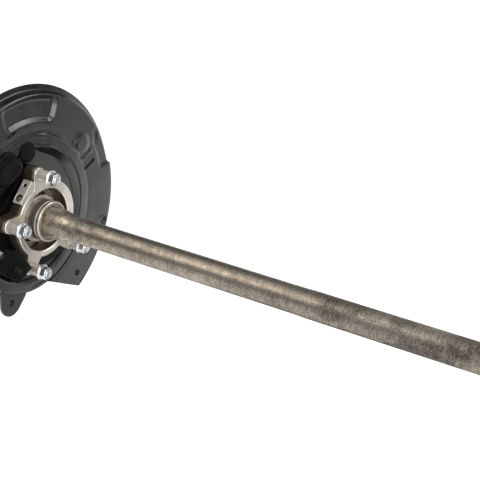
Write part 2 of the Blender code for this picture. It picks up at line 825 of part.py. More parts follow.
def plate_front():
    """The backing plate's inboard surface as (x, radius), from the hub hole to the lip."""
    return [
        (FLOOR_X, HUB_R),
        (FLOOR_X, FLOOR_R),
        (RIDGE_X - 0.7, RIDGE_R - 1.2),
        (RIDGE_X, RIDGE_R + 1.0),
        (FACE_X + 0.6, FACE_FROM_R - 4.0),
        (FACE_X, FACE_FROM_R + 2.0),
        (FACE_X, RIM_R - 4.0),
        (FACE_X - 1.2, RIM_R - 1.0),
        (FACE_X - 4.0, RIM_R),
        (FACE_X - LIP_DEPTH + 2.5, RIM_R + 2.5),
        (FACE_X - LIP_DEPTH, LIP_R),
    ]


def sheet_ring(front, thickness):
    """Close a sheet's front profile into a section by offsetting it outboard."""
    back = []
    for i, (x, r) in enumerate(front):
        ahead = front[min(i + 1, len(front) - 1)]
        behind = front[max(i - 1, 0)]
        dx, dr = ahead[0] - behind[0], ahead[1] - behind[1]
        size = math.hypot(dx, dr)
        back.append((x - thickness * dr / size, r + thickness * dx / size))
    return front + back[::-1]


def build_backing_plate():
    """Stamped plate: hub pad, stiffening ridge, turned rim, panel recess and caliper ears."""
    ring = loft(sheet_ring(plate_front(), SHEET), even_angles(60), True)
    plate = make_object("backing_plate", ring, "black_coat")
    combine(plate, caliper_gap(), "DIFFERENCE")
    combine(plate, caliper_ear(), "UNION")
    combine(plate, recess_tray(), "UNION")
    combine(plate, recess_pocket(), "DIFFERENCE")
    combine(plate, plate_bosses(), "UNION")
    combine(plate, plate_holes(), "DIFFERENCE")


def face_r(share):
    """Radius of a place on the plate's flat face, as a share of the way out to its rim."""
    return FACE_FROM_R + (RIM_R - FACE_FROM_R) * share


def caliper_holes():
    """The right ear's hole lies inside the rim. The left one lies in the open sector."""
    right_deg, left_deg = CALIPER_HOLE_DEGREES
    return polar(RIM_R - CALIPER_HOLE_TO_RIM, right_deg), polar(CALIPER_GAP_R + 12.4, left_deg)


def caliper_gap():
    """The open sector at the bottom where the caliper sits. Its edge is tangent to the right ear."""
    ear = Vector(caliper_holes()[0])
    start = Vector(polar(CALIPER_GAP_R, CALIPER_GAP_RIGHT_DEG))
    direction = (ear - start).normalized()
    turn = math.asin(min(1.0, CALIPER_EAR_R / (ear - start).length))
    edge = Matrix.Rotation(-turn, 2) @ direction
    outline = [tuple(start + edge * LIP_R * 0.72)]
    outline += arc((0, 0), CALIPER_GAP_R, CALIPER_GAP_RIGHT_DEG, CALIPER_GAP_LEFT_DEG, 12)
    outline.append(polar(LIP_R * 1.15, CALIPER_GAP_LEFT_DEG))
    outline.append(polar(LIP_R * 1.5, (CALIPER_GAP_LEFT_DEG + 300) / 2))
    return cutter("caliper_gap", prism(bmesh.new(), outline, RIDGE_X + 12, FACE_X - LIP_DEPTH - 12))


def caliper_ear():
    """The left ear, which stands out into the open sector."""
    circles = [(caliper_holes()[1], CALIPER_EAR_R)]
    for side in (-6.5, 6.5):
        circles.append((polar(CALIPER_GAP_R, CALIPER_HOLE_DEGREES[1] + side), 12.0))
    return cutter("caliper_ear", prism(bmesh.new(), hull_outline(circles, 24), FACE_X, FACE_X - SHEET))


def recess_outline(grow):
    outer = RIM_R - RECESS_TO_RIM
    turn = math.degrees(grow / outer)
    return sector(face_r(0.358) - grow, outer + grow, RECESS_FROM_DEG - turn, RECESS_TO_DEG + turn)


def recess_tray():
    back = FACE_X - RECESS_DEPTH - SHEET
    return cutter("recess_tray", prism(bmesh.new(), recess_outline(SHEET), FACE_X - 1.0, back))


def recess_pocket():
    back = FACE_X - RECESS_DEPTH
    return cutter("recess_pocket", prism(bmesh.new(), recess_outline(0.0), FACE_X + 4, back))


def boot_outline(grow):
    centre = polar(BOLT_CIRCLE_R + BOOT_WIDTH / 2 + 12.3, BOOT_DEG)
    return capsule(centre, BOOT_LENGTH + 2 * grow, BOOT_WIDTH + 2 * grow, BOOT_TILT_DEG)


def plate_bosses():
    """A raised disc on the face, and the seats of the plug and of the boot."""
    bm = bmesh.new()
    back = FLOOR_X - SHEET - 0.6
    prism(bm, disc(polar(face_r(0.228), 32.3), face_r(0.283) - FACE_FROM_R, 24), FACE_X + 1.6, FACE_X - 1.0)
    prism(bm, disc(PLUG_PLACE, PLUG_R + SEAT_BOSS_WALL, 24), SEAT_BOSS_X, back)
    prism(bm, boot_outline(SEAT_BOSS_WALL), SEAT_BOSS_X, back)
    return cutter("plate_bosses", bm)


def plate_holes():
    """Caliper and case bolt holes, seats for the plug and boot, slots and small holes."""
    bm = bmesh.new()
    front, back = RIDGE_X + 8, FLOOR_X - 14
    for place in caliper_holes():
        prism(bm, disc(place, CALIPER_HOLE_R, 16), front, back)
    for degrees in BOLT_DEGREES:
        prism(bm, disc(polar(BOLT_CIRCLE_R, degrees), BOLT_R + GAP, 16), front, back)
    prism(bm, disc(PLUG_PLACE, PLUG_R, 24), front, back)
    prism(bm, boot_outline(0.0), front, back)
    prism(bm, capsule(polar(face_r(0.274), 14.8), 21.0, 5.4, 18.0), front, back)
    prism(bm, capsule(polar(face_r(0.264), 100.9), 17.0, 4.4, 11.0), front, back)
    prism(bm, disc(polar(face_r(0.147), 78.4), 1.8, 10), front, back)
    prism(bm, sector(FACE_FROM_R - 6.5, FACE_FROM_R - 4.5, 261, 277, 4), front, back)
    prism(bm, capsule(polar(face_r(0.849), 26.4), 11.0, 5.0, 94.0), front, FACE_X - 1.4)
    return cutter("plate_holes", bm)


def build_weld_nuts():
    """Nuts welded behind the caliper ears."""
    front = FACE_X - SHEET - GAP
    flats = hexagon(17.0)
    section = [
        (front, CALIPER_HOLE_R),
        (front, flats),
        (front - 8.0, flats),
        (front - 8.0, CALIPER_HOLE_R),
    ]
    for i, place in enumerate(caliper_holes()):
        nut = turned_ring(f"caliper_weld_nut_{i + 1}", section, 18, "black_coat")
        nut.location = Vector((0, *place)) * MM


def build_inspection_plug():
    """Rubber plug in the backing plate's adjuster opening."""
    seat = SEAT_BOSS_X + GAP
    outline = [
        (seat + 3.4, 5.0),
        (seat + 3.0, 8.0),
        (seat + 1.8, PLUG_R + 1.2),
        (seat, PLUG_R + 1.8),
        (seat, PLUG_R - GAP),
        (FLOOR_X - SHEET, PLUG_R - GAP),
        (FLOOR_X - SHEET - 1.5, PLUG_R - 2.5),
    ]
    plug = turned_bar("inspection_plug", outline, 24, "black_rubber")
    plug.location = Vector((0, *PLUG_PLACE)) * MM


def build_cable_boot():
    """Oval rubber boot over the parking brake lever, plugged into the backing plate."""
    seat = SEAT_BOSS_X + GAP
    levels = (
        (FLOOR_X - SHEET, -GAP),
        (seat, -GAP),
        (seat, 2.0),
        (seat + 2.4, 2.0),
        (seat + 3.4, 0.0),
        (seat + BOOT_HEIGHT * 0.55, -1.5),
        (seat + BOOT_HEIGHT * 0.85, -4.5),
        (seat + BOOT_HEIGHT, -9.0),
    )
    bm = bmesh.new()
    rings = []
    for x, grow in levels:
        rings.append([bm.verts.new((x, y, z)) for y, z in boot_outline(grow)])
    make_object("cable_boot", skin(bm, rings, False), "black_rubber")


def main():
    clear_scene()
    axle_pivot = pivot("axle_pivot")
    cage_pivot = pivot("cage_pivot")
    build_bearing_case()
    build_snap_ring()
    build_hub_seal()
    build_case_fasteners()
    build_anchor_plate()
    build_cable_bracket()
    build_bracket_bolt()
    build_backing_plate()
    build_weld_nuts()
    build_inspection_plug()
    build_cable_boot()
    build_bearing_rings(axle_pivot)
    build_cage_and_balls(cage_pivot)
    build_collar(axle_pivot)
    build_sensor_ring(axle_pivot)
    build_axle_shaft(axle_pivot)
    build_wheel_studs(axle_pivot)


main()
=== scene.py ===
# %% [markdown]
# # Rear axle shaft assembly
# A light truck's rear axle shaft, as it comes ready pressed: the long forged shaft, its bearing in a bolted
# case, the case's bolts and flange nuts, and a stamped black backing plate. It is seen from its inboard side.
# The CAD parts are loaded first. They give every size and place, and the pieces made here lie on them.

import math

import bmesh
import bpy
from mathutils import Matrix, Vector


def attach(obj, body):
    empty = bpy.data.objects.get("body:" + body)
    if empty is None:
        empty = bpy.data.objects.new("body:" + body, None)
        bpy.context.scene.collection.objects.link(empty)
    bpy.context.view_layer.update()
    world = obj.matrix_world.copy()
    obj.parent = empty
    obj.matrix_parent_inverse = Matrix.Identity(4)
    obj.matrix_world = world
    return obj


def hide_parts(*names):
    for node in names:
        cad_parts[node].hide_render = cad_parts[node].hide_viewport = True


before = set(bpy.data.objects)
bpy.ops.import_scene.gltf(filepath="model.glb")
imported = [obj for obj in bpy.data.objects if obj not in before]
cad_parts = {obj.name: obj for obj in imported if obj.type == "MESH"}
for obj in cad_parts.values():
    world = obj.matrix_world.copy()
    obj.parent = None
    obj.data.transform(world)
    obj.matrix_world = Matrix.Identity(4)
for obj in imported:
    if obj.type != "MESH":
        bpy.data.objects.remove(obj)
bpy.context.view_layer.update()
print("CAD parts:", len(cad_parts))

# %% [markdown]
# ## Camera
# The photograph was taken from above and in front of the plate, to the right of the shaft. The camera's place
# and lens were worked out from the round outlines of the case and the plate, so the shaft leaves the frame
# at the right as it does there.

# %% Camera
eye = Vector((0.9165, -0.9395, 0.6216))
look = Vector((-0.49212, 0.7450, -0.4503)).normalized()
right = Vector((0.83438, 0.5512, 0.0)).normalized()
turn = Matrix((right, right.cross(look), -look)).transposed().to_4x4()

camera_data = bpy.data.cameras.new("camera")
camera_data.lens = 84.25
camera_data.sensor_width = 36.0
camera = bpy.data.objects.new("camera", camera_data)
camera.matrix_world = Matrix.Translation(eye) @ turn
bpy.context.scene.collection.objects.link(camera)
bpy.context.scene.camera = camera
print("camera distance to the case, in mm:", round(eye.length * 1000))

# %% [markdown]
# ## Colours and nodes
# Colours are read from the photograph as sRGB hex and turned to linear light, which is what shaders mix.
# One small function adds a node, sets it and links it, for materials and for Geometry Nodes alike.

# %% Colours and nodes
MM = 0.001


def colour(code):
    """Linear red, green, blue and alpha of an sRGB hex colour."""
    channels = [int(code[i:i + 2], 16) / 255 for i in (1, 3, 5)]
    linear = [c / 12.92 if c <= 0.04045 else ((c + 0.055) / 1.055) ** 2.4 for c in channels]
    return (*linear, 1.0)


def add(tree, kind, inputs=(), **settings):
    """Add a node. Each input is given a value, or another node's output to link."""
    node = tree.nodes.new(kind)
    for key, value in settings.items():
        setattr(node, key, value)
    for key, value in dict(inputs).items():
        if isinstance(value, bpy.types.NodeSocket):
            tree.links.new(value, node.inputs[key])
        else:
            node.inputs[key].default_value = value
    return node


def shader_start(name, **constants):
    """A material with its shader's fixed values set on the shader's own sockets."""
    material = bpy.data.materials.new(name)
    material.use_nodes = True
    shader = material.node_tree.nodes["Principled BSDF"]
    for key, value in constants.items():
        shader.inputs[key.replace("_", " ")].default_value = value
    return material, material.node_tree, shader


def ramp(tree, factor, stops):
    """A colour ramp with (position, sRGB hex) stops."""
    node = add(tree, "ShaderNodeValToRGB", {"Fac": factor})
    elements = node.color_ramp.elements
    while len(elements) < len(stops):
        elements.new(0.5)
    for element, (position, code) in zip(elements, stops):
        element.position = position
        element.color = colour(code)
    return node.outputs["Color"]


def spots(tree, where, size_mm, detail=4.0, stretch=(1.0, 1.0, 1.0), **settings):
    """Noise whose blotches are about size_mm across."""
    placed = add(tree, "ShaderNodeMapping", {"Vector": where, "Scale": stretch})
    inputs = {"Vector": placed.outputs["Vector"], "Scale": 1000.0 / size_mm, "Detail": detail}
    return add(tree, "ShaderNodeTexNoise", inputs, **settings).outputs["Fac"]


def spread(tree, value, low, high, to_low=0.0, to_high=1.0):
    """Stretch a value from one range to another and clamp it."""
    inputs = {0: value, 1: low, 2: high, 3: to_low, 4: to_high}
    return add(tree, "ShaderNodeMapRange", inputs, interpolation_type="SMOOTHSTEP").outputs[0]


def math_node(tree, operation, a, b=0.0):
    return add(tree, "ShaderNodeMath", {0: a, 1: b}, operation=operation).outputs[0]


def blend(tree, *parts):
    """A weighted sum of (value, weight) pairs."""
    total = 0.0
    for value, weight in parts:
        total = add(tree, "ShaderNodeMath", {0: value, 1: weight, 2: total}, operation="MULTIPLY_ADD").outputs[0]
    return total


def relief(tree, height, shader, depth_mm, strength=1.0):
    """Bump of a real depth in millimetres."""
    inputs = {"Height": height, "Distance": depth_mm * MM, "Strength": strength}
    bump = add(tree, "ShaderNodeBump", inputs)
    tree.links.new(bump.outputs["Normal"], shader.inputs["Normal"])


print("mid grey is", round(colour("#808080")[0], 3), "in linear light")

# %% [markdown]
# ## Forged steel with mill scale
# The shaft is forged hot and left as it is, apart from a rough turning cut. Its skin is a thin grey-brown
# oxide, mottled where it was rubbed through to the creamy bare steel. Faint rings of the turning cut run
# round it. The blotches are noise on the object's own coordinates. The rings are noise that only changes
# along the shaft.

# %% Forged steel


def forged_steel():
    material, tree, shader = shader_start("forged_steel_mill_scale", Metallic=1.0)
    where = add(tree, "ShaderNodeTexCoord").outputs["Object"]
    along = add(tree, "ShaderNodeSeparateXYZ", {"Vector": where}).outputs["X"]
    patches = spots(tree, where, 30.0, 4.0, (0.6, 1.0, 1.0))
    cloud = spots(tree, where, 8.0, 4.0, (0.7, 1.0, 1.0))
    grit = spots(tree, where, 1.5, 3.0)
    rings = spots(tree, where, 1.5, 3.0, (1.0, 0.12, 0.12))
    scale = math_node(tree, "MULTIPLY", spread(tree, patches, 0.42, 0.60), spread(tree, along, 0.14, 0.60, 0.04, 0.26))
    darkening_and_painted_root_highlight = math_node(tree, "ADD", scale, spread(tree, along, 0.24, 0.58, 0.0, 0.19))
    # Lighter near the flange end: a painted highlight, standing for the broad highlight at the shaft's root.
    darkening_and_painted_root_highlight = math_node(tree, "SUBTRACT", darkening_and_painted_root_highlight, spread(tree, along, 0.03, 0.13, 0.20, 0.0))
    steel = spread(tree, blend(tree, (cloud, 0.22), (grit, 0.50), (rings, 0.28)), 0.30, 0.70, -0.30, 0.30)
    worked = math_node(tree, "MULTIPLY", steel, spread(tree, along, 0.010, 0.120, 1.5, 1.0))
    rubbed = math_node(tree, "MULTIPLY", spread(tree, cloud, 0.36, 0.64, -0.15, 0.09), spread(tree, along, 0.04, 0.16, 1.0, 0.0))
    mixed = math_node(tree, "SUBTRACT", math_node(tree, "ADD", worked, 0.62), darkening_and_painted_root_highlight)
    mixed = math_node(tree, "ADD", mixed, rubbed)
    stops = ((0.0, "#423f3b"), (0.2, "#5f5a54"), (0.4, "#7c756d"), (0.6, "#968e84"), (0.8, "#afa699"), (1.0, "#cac0ad"))
    tree.links.new(ramp(tree, mixed, stops), shader.inputs["Base Color"])
    tree.links.new(spread(tree, mixed, 0.1, 0.9, 0.56, 0.40), shader.inputs["Roughness"])
    relief(tree, blend(tree, (grit, 0.5), (rings, 0.5)), shader, 0.08, 0.8)
    return material


FORGED = forged_steel()
print(FORGED.name)

# %% [markdown]
# ## Turned steel
# Machined faces of a forging are pale and warm, with fine rings that a turning tool leaves. The rings follow
# the distance from the shaft's axis, so the same material suits the case's face and the flange.

# %% Turned steel


def turned_steel(name, dark, light, rough, ring_mm=1.1, ring_depth=0.02, metallic=1.0):
    material, tree, shader = shader_start(name, Metallic=metallic)
    where = add(tree, "ShaderNodeTexCoord").outputs["Object"]
    apart = add(tree, "ShaderNodeSeparateXYZ", {"Vector": where})
    y, z = apart.outputs["Y"], apart.outputs["Z"]
    radius = math_node(tree, "SQRT", math_node(tree, "ADD", math_node(tree, "MULTIPLY", y, y), math_node(tree, "MULTIPLY", z, z)))
    along = add(tree, "ShaderNodeCombineXYZ", {"X": apart.outputs["X"], "Y": radius})
    rings = spots(tree, along.outputs["Vector"], ring_mm, 2.0)
    cloud = spots(tree, where, 9.0, 4.0)
    mixed = math_node(tree, "ADD", math_node(tree, "MULTIPLY", rings, 0.45), math_node(tree, "MULTIPLY", cloud, 0.55))
    tree.links.new(ramp(tree, mixed, ((0.3, dark), (0.7, light))), shader.inputs["Base Color"])
    tree.links.new(spread(tree, mixed, 0.3, 0.7, rough + 0.08, rough - 0.06), shader.inputs["Roughness"])
    relief(tree, rings, shader, ring_depth, 0.7)
    return material


TURNED = turned_steel("turned_steel_face", "#d0cbc3", "#e9e4dc", 0.34)
# The sensor pad gets a lighter, almost non-metallic copy of the machined steel: painted light, so the pad looks lit.
PAINTED_LIGHT_PAD = turned_steel("milled_pad_steel", "#d8d3c6", "#eee8db", 0.50, 0.9, 0.02, 0.2)
GROUND = turned_steel("ground_bearing_steel", "#b0a9a0", "#d2ccc3", 0.34, 0.7, 0.006, 0.85)
SLEEVE = turned_steel("turned_sleeve_steel", "#d2cdc4", "#ece7de", 0.42, 0.6, 0.02, 0.45)
BORE = turned_steel("oiled_bore_with_rust", "#655548", "#a0968a", 0.36, 3.0, 0.02, 0.9)
CAGE = turned_steel("pressed_cage_steel", "#8d867c", "#aaa297", 0.36)
print(TURNED.name, PAINTED_LIGHT_PAD.name, GROUND.name, SLEEVE.name, BORE.name, CAGE.name)

# %% [markdown]
# ## As-forged skin of the case
# The case's walls were never machined. They are rougher and browner than its face, with small pits from
# shot blasting.

# %% Forged skin


def forged_skin():
    material, tree, shader = shader_start("shot_blasted_forging", Metallic=0.85)
    where = add(tree, "ShaderNodeTexCoord").outputs["Object"]
    cloud = spots(tree, where, 11.0, 5.0)
    pits = add(tree, "ShaderNodeTexVoronoi", {"Vector": where, "Scale": 1000 / 1.4, "Randomness": 1.0})
    mixed = math_node(tree, "ADD", math_node(tree, "MULTIPLY", cloud, 0.7), math_node(tree, "MULTIPLY", pits.outputs["Distance"], 0.3))
    tree.links.new(ramp(tree, mixed, ((0.3, "#443b32"), (0.65, "#70675b"))), shader.inputs["Base Color"])
    tree.links.new(spread(tree, cloud, 0.3, 0.7, 0.62, 0.48), shader.inputs["Roughness"])
    relief(tree, pits.outputs["Distance"], shader, 0.1, 0.7)
    return material


SKIN = forged_skin()
print(SKIN.name)

# %% [markdown]
# ## Bright zinc plate
# Nuts, bolts and studs are zinc plated and passivated. The coat is bright with a faint blue cast, and slightly
# cloudy because the crystals grow unevenly.

# %% Zinc plate


def zinc_plate():
    material, tree, shader = shader_start("bright_zinc_plate", Metallic=1.0)
    where = add(tree, "ShaderNodeTexCoord").outputs["Object"]
    cloud = spots(tree, where, 5.0, 3.0)
    tree.links.new(ramp(tree, cloud, ((0.3, "#cfd4d7"), (0.7, "#dcdfe0"))), shader.inputs["Base Color"])
    tree.links.new(spread(tree, cloud, 0.3, 0.7, 0.34, 0.27), shader.inputs["Roughness"])
    relief(tree, spots(tree, where, 1.2, 2.0), shader, 0.002, 0.3)
    return material


ZINC = zinc_plate()
print(ZINC.name)

# %% [markdown]
# ## Black electrocoat
# The plate is dipped in black paint that electricity draws onto the steel. It is thin and even, so it shows
# the stamping under it. It is a satin dielectric: almost black to look at, and grey where it mirrors the pale
# room at a slant. Faint waves in it, called orange peel, keep that mirror soft.

# %% Electrocoat


def electrocoat():
    material, tree, shader = shader_start("black_electrocoat", IOR=1.5, Specular_IOR_Level=1.0)
    where = add(tree, "ShaderNodeTexCoord").outputs["Object"]
    film = spots(tree, where, 28.0, 4.0)
    peel = spots(tree, where, 1.8, 2.0)
    tree.links.new(ramp(tree, film, ((0.3, "#101010"), (0.7, "#191818"))), shader.inputs["Base Color"])
    tree.links.new(spread(tree, film, 0.3, 0.7, 0.34, 0.25), shader.inputs["Roughness"])
    relief(tree, peel, shader, 0.012, 0.5)
    return material


def black_oxide():
    """Forged and folded black pieces: a dry conversion coat that mirrors almost nothing."""
    material, tree, shader = shader_start("black_oxide_steel", IOR=1.5, Specular_IOR_Level=0.1)
    where = add(tree, "ShaderNodeTexCoord").outputs["Object"]
    cloud = spots(tree, where, 9.0, 5.0)
    tree.links.new(ramp(tree, cloud, ((0.3, "#0a0a0a"), (0.7, "#141313"))), shader.inputs["Base Color"])
    tree.links.new(spread(tree, cloud, 0.3, 0.7, 0.44, 0.28), shader.inputs["Roughness"])
    relief(tree, spots(tree, where, 1.2, 3.0), shader, 0.03, 0.5)
    return material


COAT = electrocoat()
OXIDE = black_oxide()
print(COAT.name, OXIDE.name)

# %% [markdown]
# ## Moulded rubber
# Plug, boot and seal lip are black rubber from a mould: dull, with a fine even grain and a little bloom.

# %% Moulded rubber


def moulded_rubber():
    material, tree, shader = shader_start("moulded_black_rubber", IOR=1.5, Specular_IOR_Level=0.12)
    where = add(tree, "ShaderNodeTexCoord").outputs["Object"]
    bloom = spots(tree, where, 14.0, 4.0)
    grain = spots(tree, where, 0.9, 2.0)
    tree.links.new(ramp(tree, bloom, ((0.35, "#090909"), (0.75, "#121110"))), shader.inputs["Base Color"])
    tree.links.new(spread(tree, bloom, 0.3, 0.7, 0.42, 0.6), shader.inputs["Roughness"])
    relief(tree, grain, shader, 0.03, 0.5)
    return material


RUBBER = moulded_rubber()
print(RUBBER.name)

# %% [markdown]
# ## Turned shapes
# Most pieces here are turned on a lathe, so they start as an outline that is spun about the shaft. A real
# part has no razor edge: each corner of the outline carries its own fillet, and a short curve replaces it.

# %% Turned shapes


def polar(radius, degrees):
    t = math.radians(degrees)
    return radius * math.cos(t), radius * math.sin(t)


def rounded(corners, closed=True, steps=4):
    """An outline of (x, radius) points, with each corner (x, radius, fillet) drawn as a short curve."""
    outline = []
    count = len(corners)
    for i, (x, r, fillet) in enumerate(corners):
        here = Vector((x, r))
        if fillet == 0 or (not closed and i in (0, count - 1)):
            outline.append((x, r))
            continue
        before = Vector(corners[i - 1][:2]) - here
        after = Vector(corners[(i + 1) % count][:2]) - here
        reach = min(fillet, before.length * 0.45, after.length * 0.45)
        start = here + before.normalized() * reach
        end = here + after.normalized() * reach
        for k in range(steps + 1):
            t = k / steps
            point = start * (1 - t) ** 2 + here * 2 * t * (1 - t) + end * t ** 2
            outline.append((point.x, point.y))
    return outline


def spin(outline, segments, closed=True):
    """Spin an outline about X into a bmesh, in millimetres. A radius may be a function of degrees."""
    bm = bmesh.new()
    rings = []
    for x, radius in outline:
        ring = []
        for k in range(segments):
            degrees = 360 * k / segments
            size = radius(degrees) if callable(radius) else radius
            ring.append(bm.verts.new((x, *polar(size, degrees))))
        rings.append(ring)
    pairs = list(zip(rings, rings[1:])) + ([(rings[-1], rings[0])] if closed else [])
    for a, b in pairs:
        for k in range(segments):
            j = (k + 1) % segments
            bm.faces.new((a[k], a[j], b[j], b[k]))
    if not closed:
        bm.faces.new(rings[0])
        bm.faces.new(rings[-1])
    bmesh.ops.recalc_face_normals(bm, faces=bm.faces)
    return bm


def to_object(name, bm, *materials):
    """Make an object in metres from a bmesh in millimetres."""
    bmesh.ops.recalc_face_normals(bm, faces=bm.faces)
    bmesh.ops.scale(bm, vec=(MM, MM, MM), verts=bm.verts)
    mesh = bpy.data.meshes.new(name)
    bm.to_mesh(mesh)
    bm.free()
    for material in materials:
        mesh.materials.append(material)
    obj = bpy.data.objects.new(name, mesh)
    bpy.context.scene.collection.objects.link(obj)
    return obj


def settle(obj):
    """Turn an object and its modifiers into one plain mesh."""
    graph = bpy.context.evaluated_depsgraph_get()
    mesh = bpy.data.meshes.new_from_object(obj.evaluated_get(graph), depsgraph=graph)
    old = obj.data
    obj.modifiers.clear()
    obj.data = mesh
    bpy.data.meshes.remove(old)
    return obj


def combine(obj, bm, operation="DIFFERENCE"):
    """Cut with, or join, a bmesh in millimetres."""
    other = to_object("tool", bm)
    modifier = obj.modifiers.new("tool", "BOOLEAN")
    modifier.operation = operation
    modifier.solver = "EXACT"
    modifier.object = other
    settle(obj)
    bpy.data.objects.remove(other)
    return obj


def deliver(obj, body, slot, *nodes, sharp=32):
    """Shade a finished piece, hang it on its body and let it stand for its CAD nodes."""
    obj.data.shade_smooth()
    obj.data.set_sharp_from_angle(angle=math.radians(sharp))
    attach(obj, body)
    if nodes:
        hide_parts(*nodes)
    print(obj.name, len(obj.data.polygons), "faces")
    return obj


print("a 1 mm fillet has", len(rounded([(0, 0, 0), (5, 0, 1), (5, 5, 0)], False)) - 2, "points")

# %% [markdown]
# ## Geometry Nodes: spline teeth
# The inboard end has 30 teeth that a hob cuts. The teeth follow a rule, so a node tree cuts them: it takes
# each point's angle round the shaft, finds where in a tooth that is, and lowers the point there. A run-out
# length lets the grooves fade as the hob lifts.

# %% Tree helpers


def new_tree(name, sockets):
    """A Geometry Nodes tree with a geometry in and out, and named inputs."""
    tree = bpy.data.node_groups.new(name, "GeometryNodeTree")
    tree.interface.new_socket("Geometry", in_out="INPUT", socket_type="NodeSocketGeometry")
    tree.interface.new_socket("Geometry", in_out="OUTPUT", socket_type="NodeSocketGeometry")
    for label, kind in sockets:
        tree.interface.new_socket(label, in_out="INPUT", socket_type="NodeSocket" + kind)
    return tree, add(tree, "NodeGroupInput").outputs


def end_tree(tree, geometry, material):
    """Every tree ends in real geometry with a material."""
    real = add(tree, "GeometryNodeRealizeInstances", {"Geometry": geometry})
    painted = add(tree, "GeometryNodeSetMaterial", {"Geometry": real.outputs[0], "Material": material})
    add(tree, "NodeGroupOutput", {"Geometry": painted.outputs[0]})


def run_tree(obj, tree, **values):
    """Put a tree on an object. Inputs are named with underscores for spaces."""
    modifier = obj.modifiers.new(tree.name, "NODES")
    modifier.node_group = tree
    for item in tree.interface.items_tree:
        key = item.name.replace(" ", "_")
        if item.in_out == "INPUT" and key in values:
            modifier[item.identifier] = values[key]
    return modifier


def calc(tree, operation, a, b=0.0):
    return add(tree, "ShaderNodeMath", {0: a, 1: b}, operation=operation).outputs[0]


def moved_radially(tree, geometry, offset):
    """Move every point along its own radius by an offset in metres."""
    position = add(tree, "GeometryNodeInputPosition").outputs[0]
    across = add(tree, "ShaderNodeVectorMath", {0: position, 1: (0.0, 1.0, 1.0)}, operation="MULTIPLY")
    outward = add(tree, "ShaderNodeVectorMath", {0: across.outputs[0]}, operation="NORMALIZE")
    shift = add(tree, "ShaderNodeVectorMath", {0: outward.outputs[0], "Scale": offset}, operation="SCALE")
    return add(tree, "GeometryNodeSetPosition", {"Geometry": geometry, "Offset": shift.outputs[0]}).outputs[0]


# %% Spline teeth


def spline_tree():
    sockets = (("Teeth", "Float"), ("Depth", "Float"), ("From", "Float"), ("Run Out", "Float"), ("Material", "Material"))
    tree, given = new_tree("cut_spline_teeth", sockets)
    position = add(tree, "ShaderNodeSeparateXYZ", {0: add(tree, "GeometryNodeInputPosition").outputs[0]}).outputs
    turn = calc(tree, "DIVIDE", calc(tree, "ARCTAN2", position["Z"], position["Y"]), 2 * math.pi)
    place = calc(tree, "FRACT", calc(tree, "MULTIPLY", turn, given["Teeth"]))
    from_crest = calc(tree, "MULTIPLY", calc(tree, "ABSOLUTE", calc(tree, "SUBTRACT", place, 0.5)), 2.0)
    groove = add(tree, "ShaderNodeMapRange", {0: from_crest, 1: 0.3, 2: 0.72}, interpolation_type="SMOOTHSTEP").outputs[0]
    full = calc(tree, "ADD", given["From"], given["Run Out"])
    cut = add(tree, "ShaderNodeMapRange", {0: position["X"], 1: given["From"], 2: full}, interpolation_type="SMOOTHSTEP").outputs[0]
    radius = calc(tree, "SQRT", calc(tree, "ADD", calc(tree, "POWER", position["Y"], 2.0), calc(tree, "POWER", position["Z"], 2.0)))
    outside = calc(tree, "GREATER_THAN", radius, 0.013)
    depth = calc(tree, "MULTIPLY", calc(tree, "MULTIPLY", groove, cut), calc(tree, "MULTIPLY", given["Depth"], outside))
    end_tree(tree, moved_radially(tree, given["Geometry"], calc(tree, "MULTIPLY", depth, -1.0)), given["Material"])
    return tree


SPLINE_TREE = spline_tree()
print(SPLINE_TREE.name, len(SPLINE_TREE.nodes), "nodes")

# %% [markdown]
# ## Axle shaft
# One forging carries the wheel flange, the bearing seat, the blend down to the bar and the splined end. Only
# the bar is seen in the photograph, but the part is used from all sides. It is spun from one outline of real
# sizes. The bearing seat and the flange were machined, so their faces get the turned steel.

# %% Axle shaft
SPLINE_FROM = 606.0


def blend_points(x_from, x_to, r_from, r_to, steps=14):
    """An S-shaped blend between two radii."""
    points = []
    for k in range(steps + 1):
        t = k / steps
        rise = 3 * t ** 2 - 2 * t ** 3
        points.append((x_from + (x_to - x_from) * t, r_from + (r_to - r_from) * rise, 0))
    return points


shaft_corners = [(660.0, 1.2, 0), (667.0, 1.6, 0), (671.2, 5.0, 0.3), (672.0, 6.2, 0.3), (672.0, 14.6, 0.5), (669.6, 16.4, 0.5)]
shaft_corners += [(SPLINE_FROM + 4 * k, 16.4, 0) for k in range(15, -1, -1)]
shaft_corners += [(604.0, 14.8, 1.0), (598.0, 14.8, 1.5), (594.0, 16.4, 1.5), (389.0, 16.4, 3.0), (379.0, 16.0, 3.0)]
shaft_corners += blend_points(52.0, 22.6, 16.0, 19.9)
shaft_corners += [(21.8, 20.0, 0.2), (8.0, 20.0, 0), (-47.8, 20.0, 0.6), (-47.8, 25.0, 0.3), (-48.8, 26.0, 0.3), (-60.5, 26.0, 2.0)]
shaft_corners += [(-64.0, 28.2, 2.0), (-66.2, 34.0, 3.0), (-67.0, 44.0, 2.0), (-67.0, 84.5, 0.6), (-68.5, 86.0, 0.6)]
shaft_corners += [(-76.5, 86.0, 0.6), (-78.0, 84.5, 0.6), (-78.0, 53.0, 0.8), (-85.5, 53.0, 0.6), (-87.0, 51.5, 0.6)]
shaft_corners += [(-87.0, 41.0, 1.2), (-79.0, 36.0, 2.5), (-79.0, 5.5, 0.3), (-73.0, 1.5, 0)]

shaft = to_object("axle_forging", spin(rounded(shaft_corners, False), 240, False), FORGED)
run_tree(shaft, SPLINE_TREE, Teeth=30.0, Depth=1.3 * MM, From=SPLINE_FROM * MM, Run_Out=12 * MM, Material=FORGED)
settle(shaft)


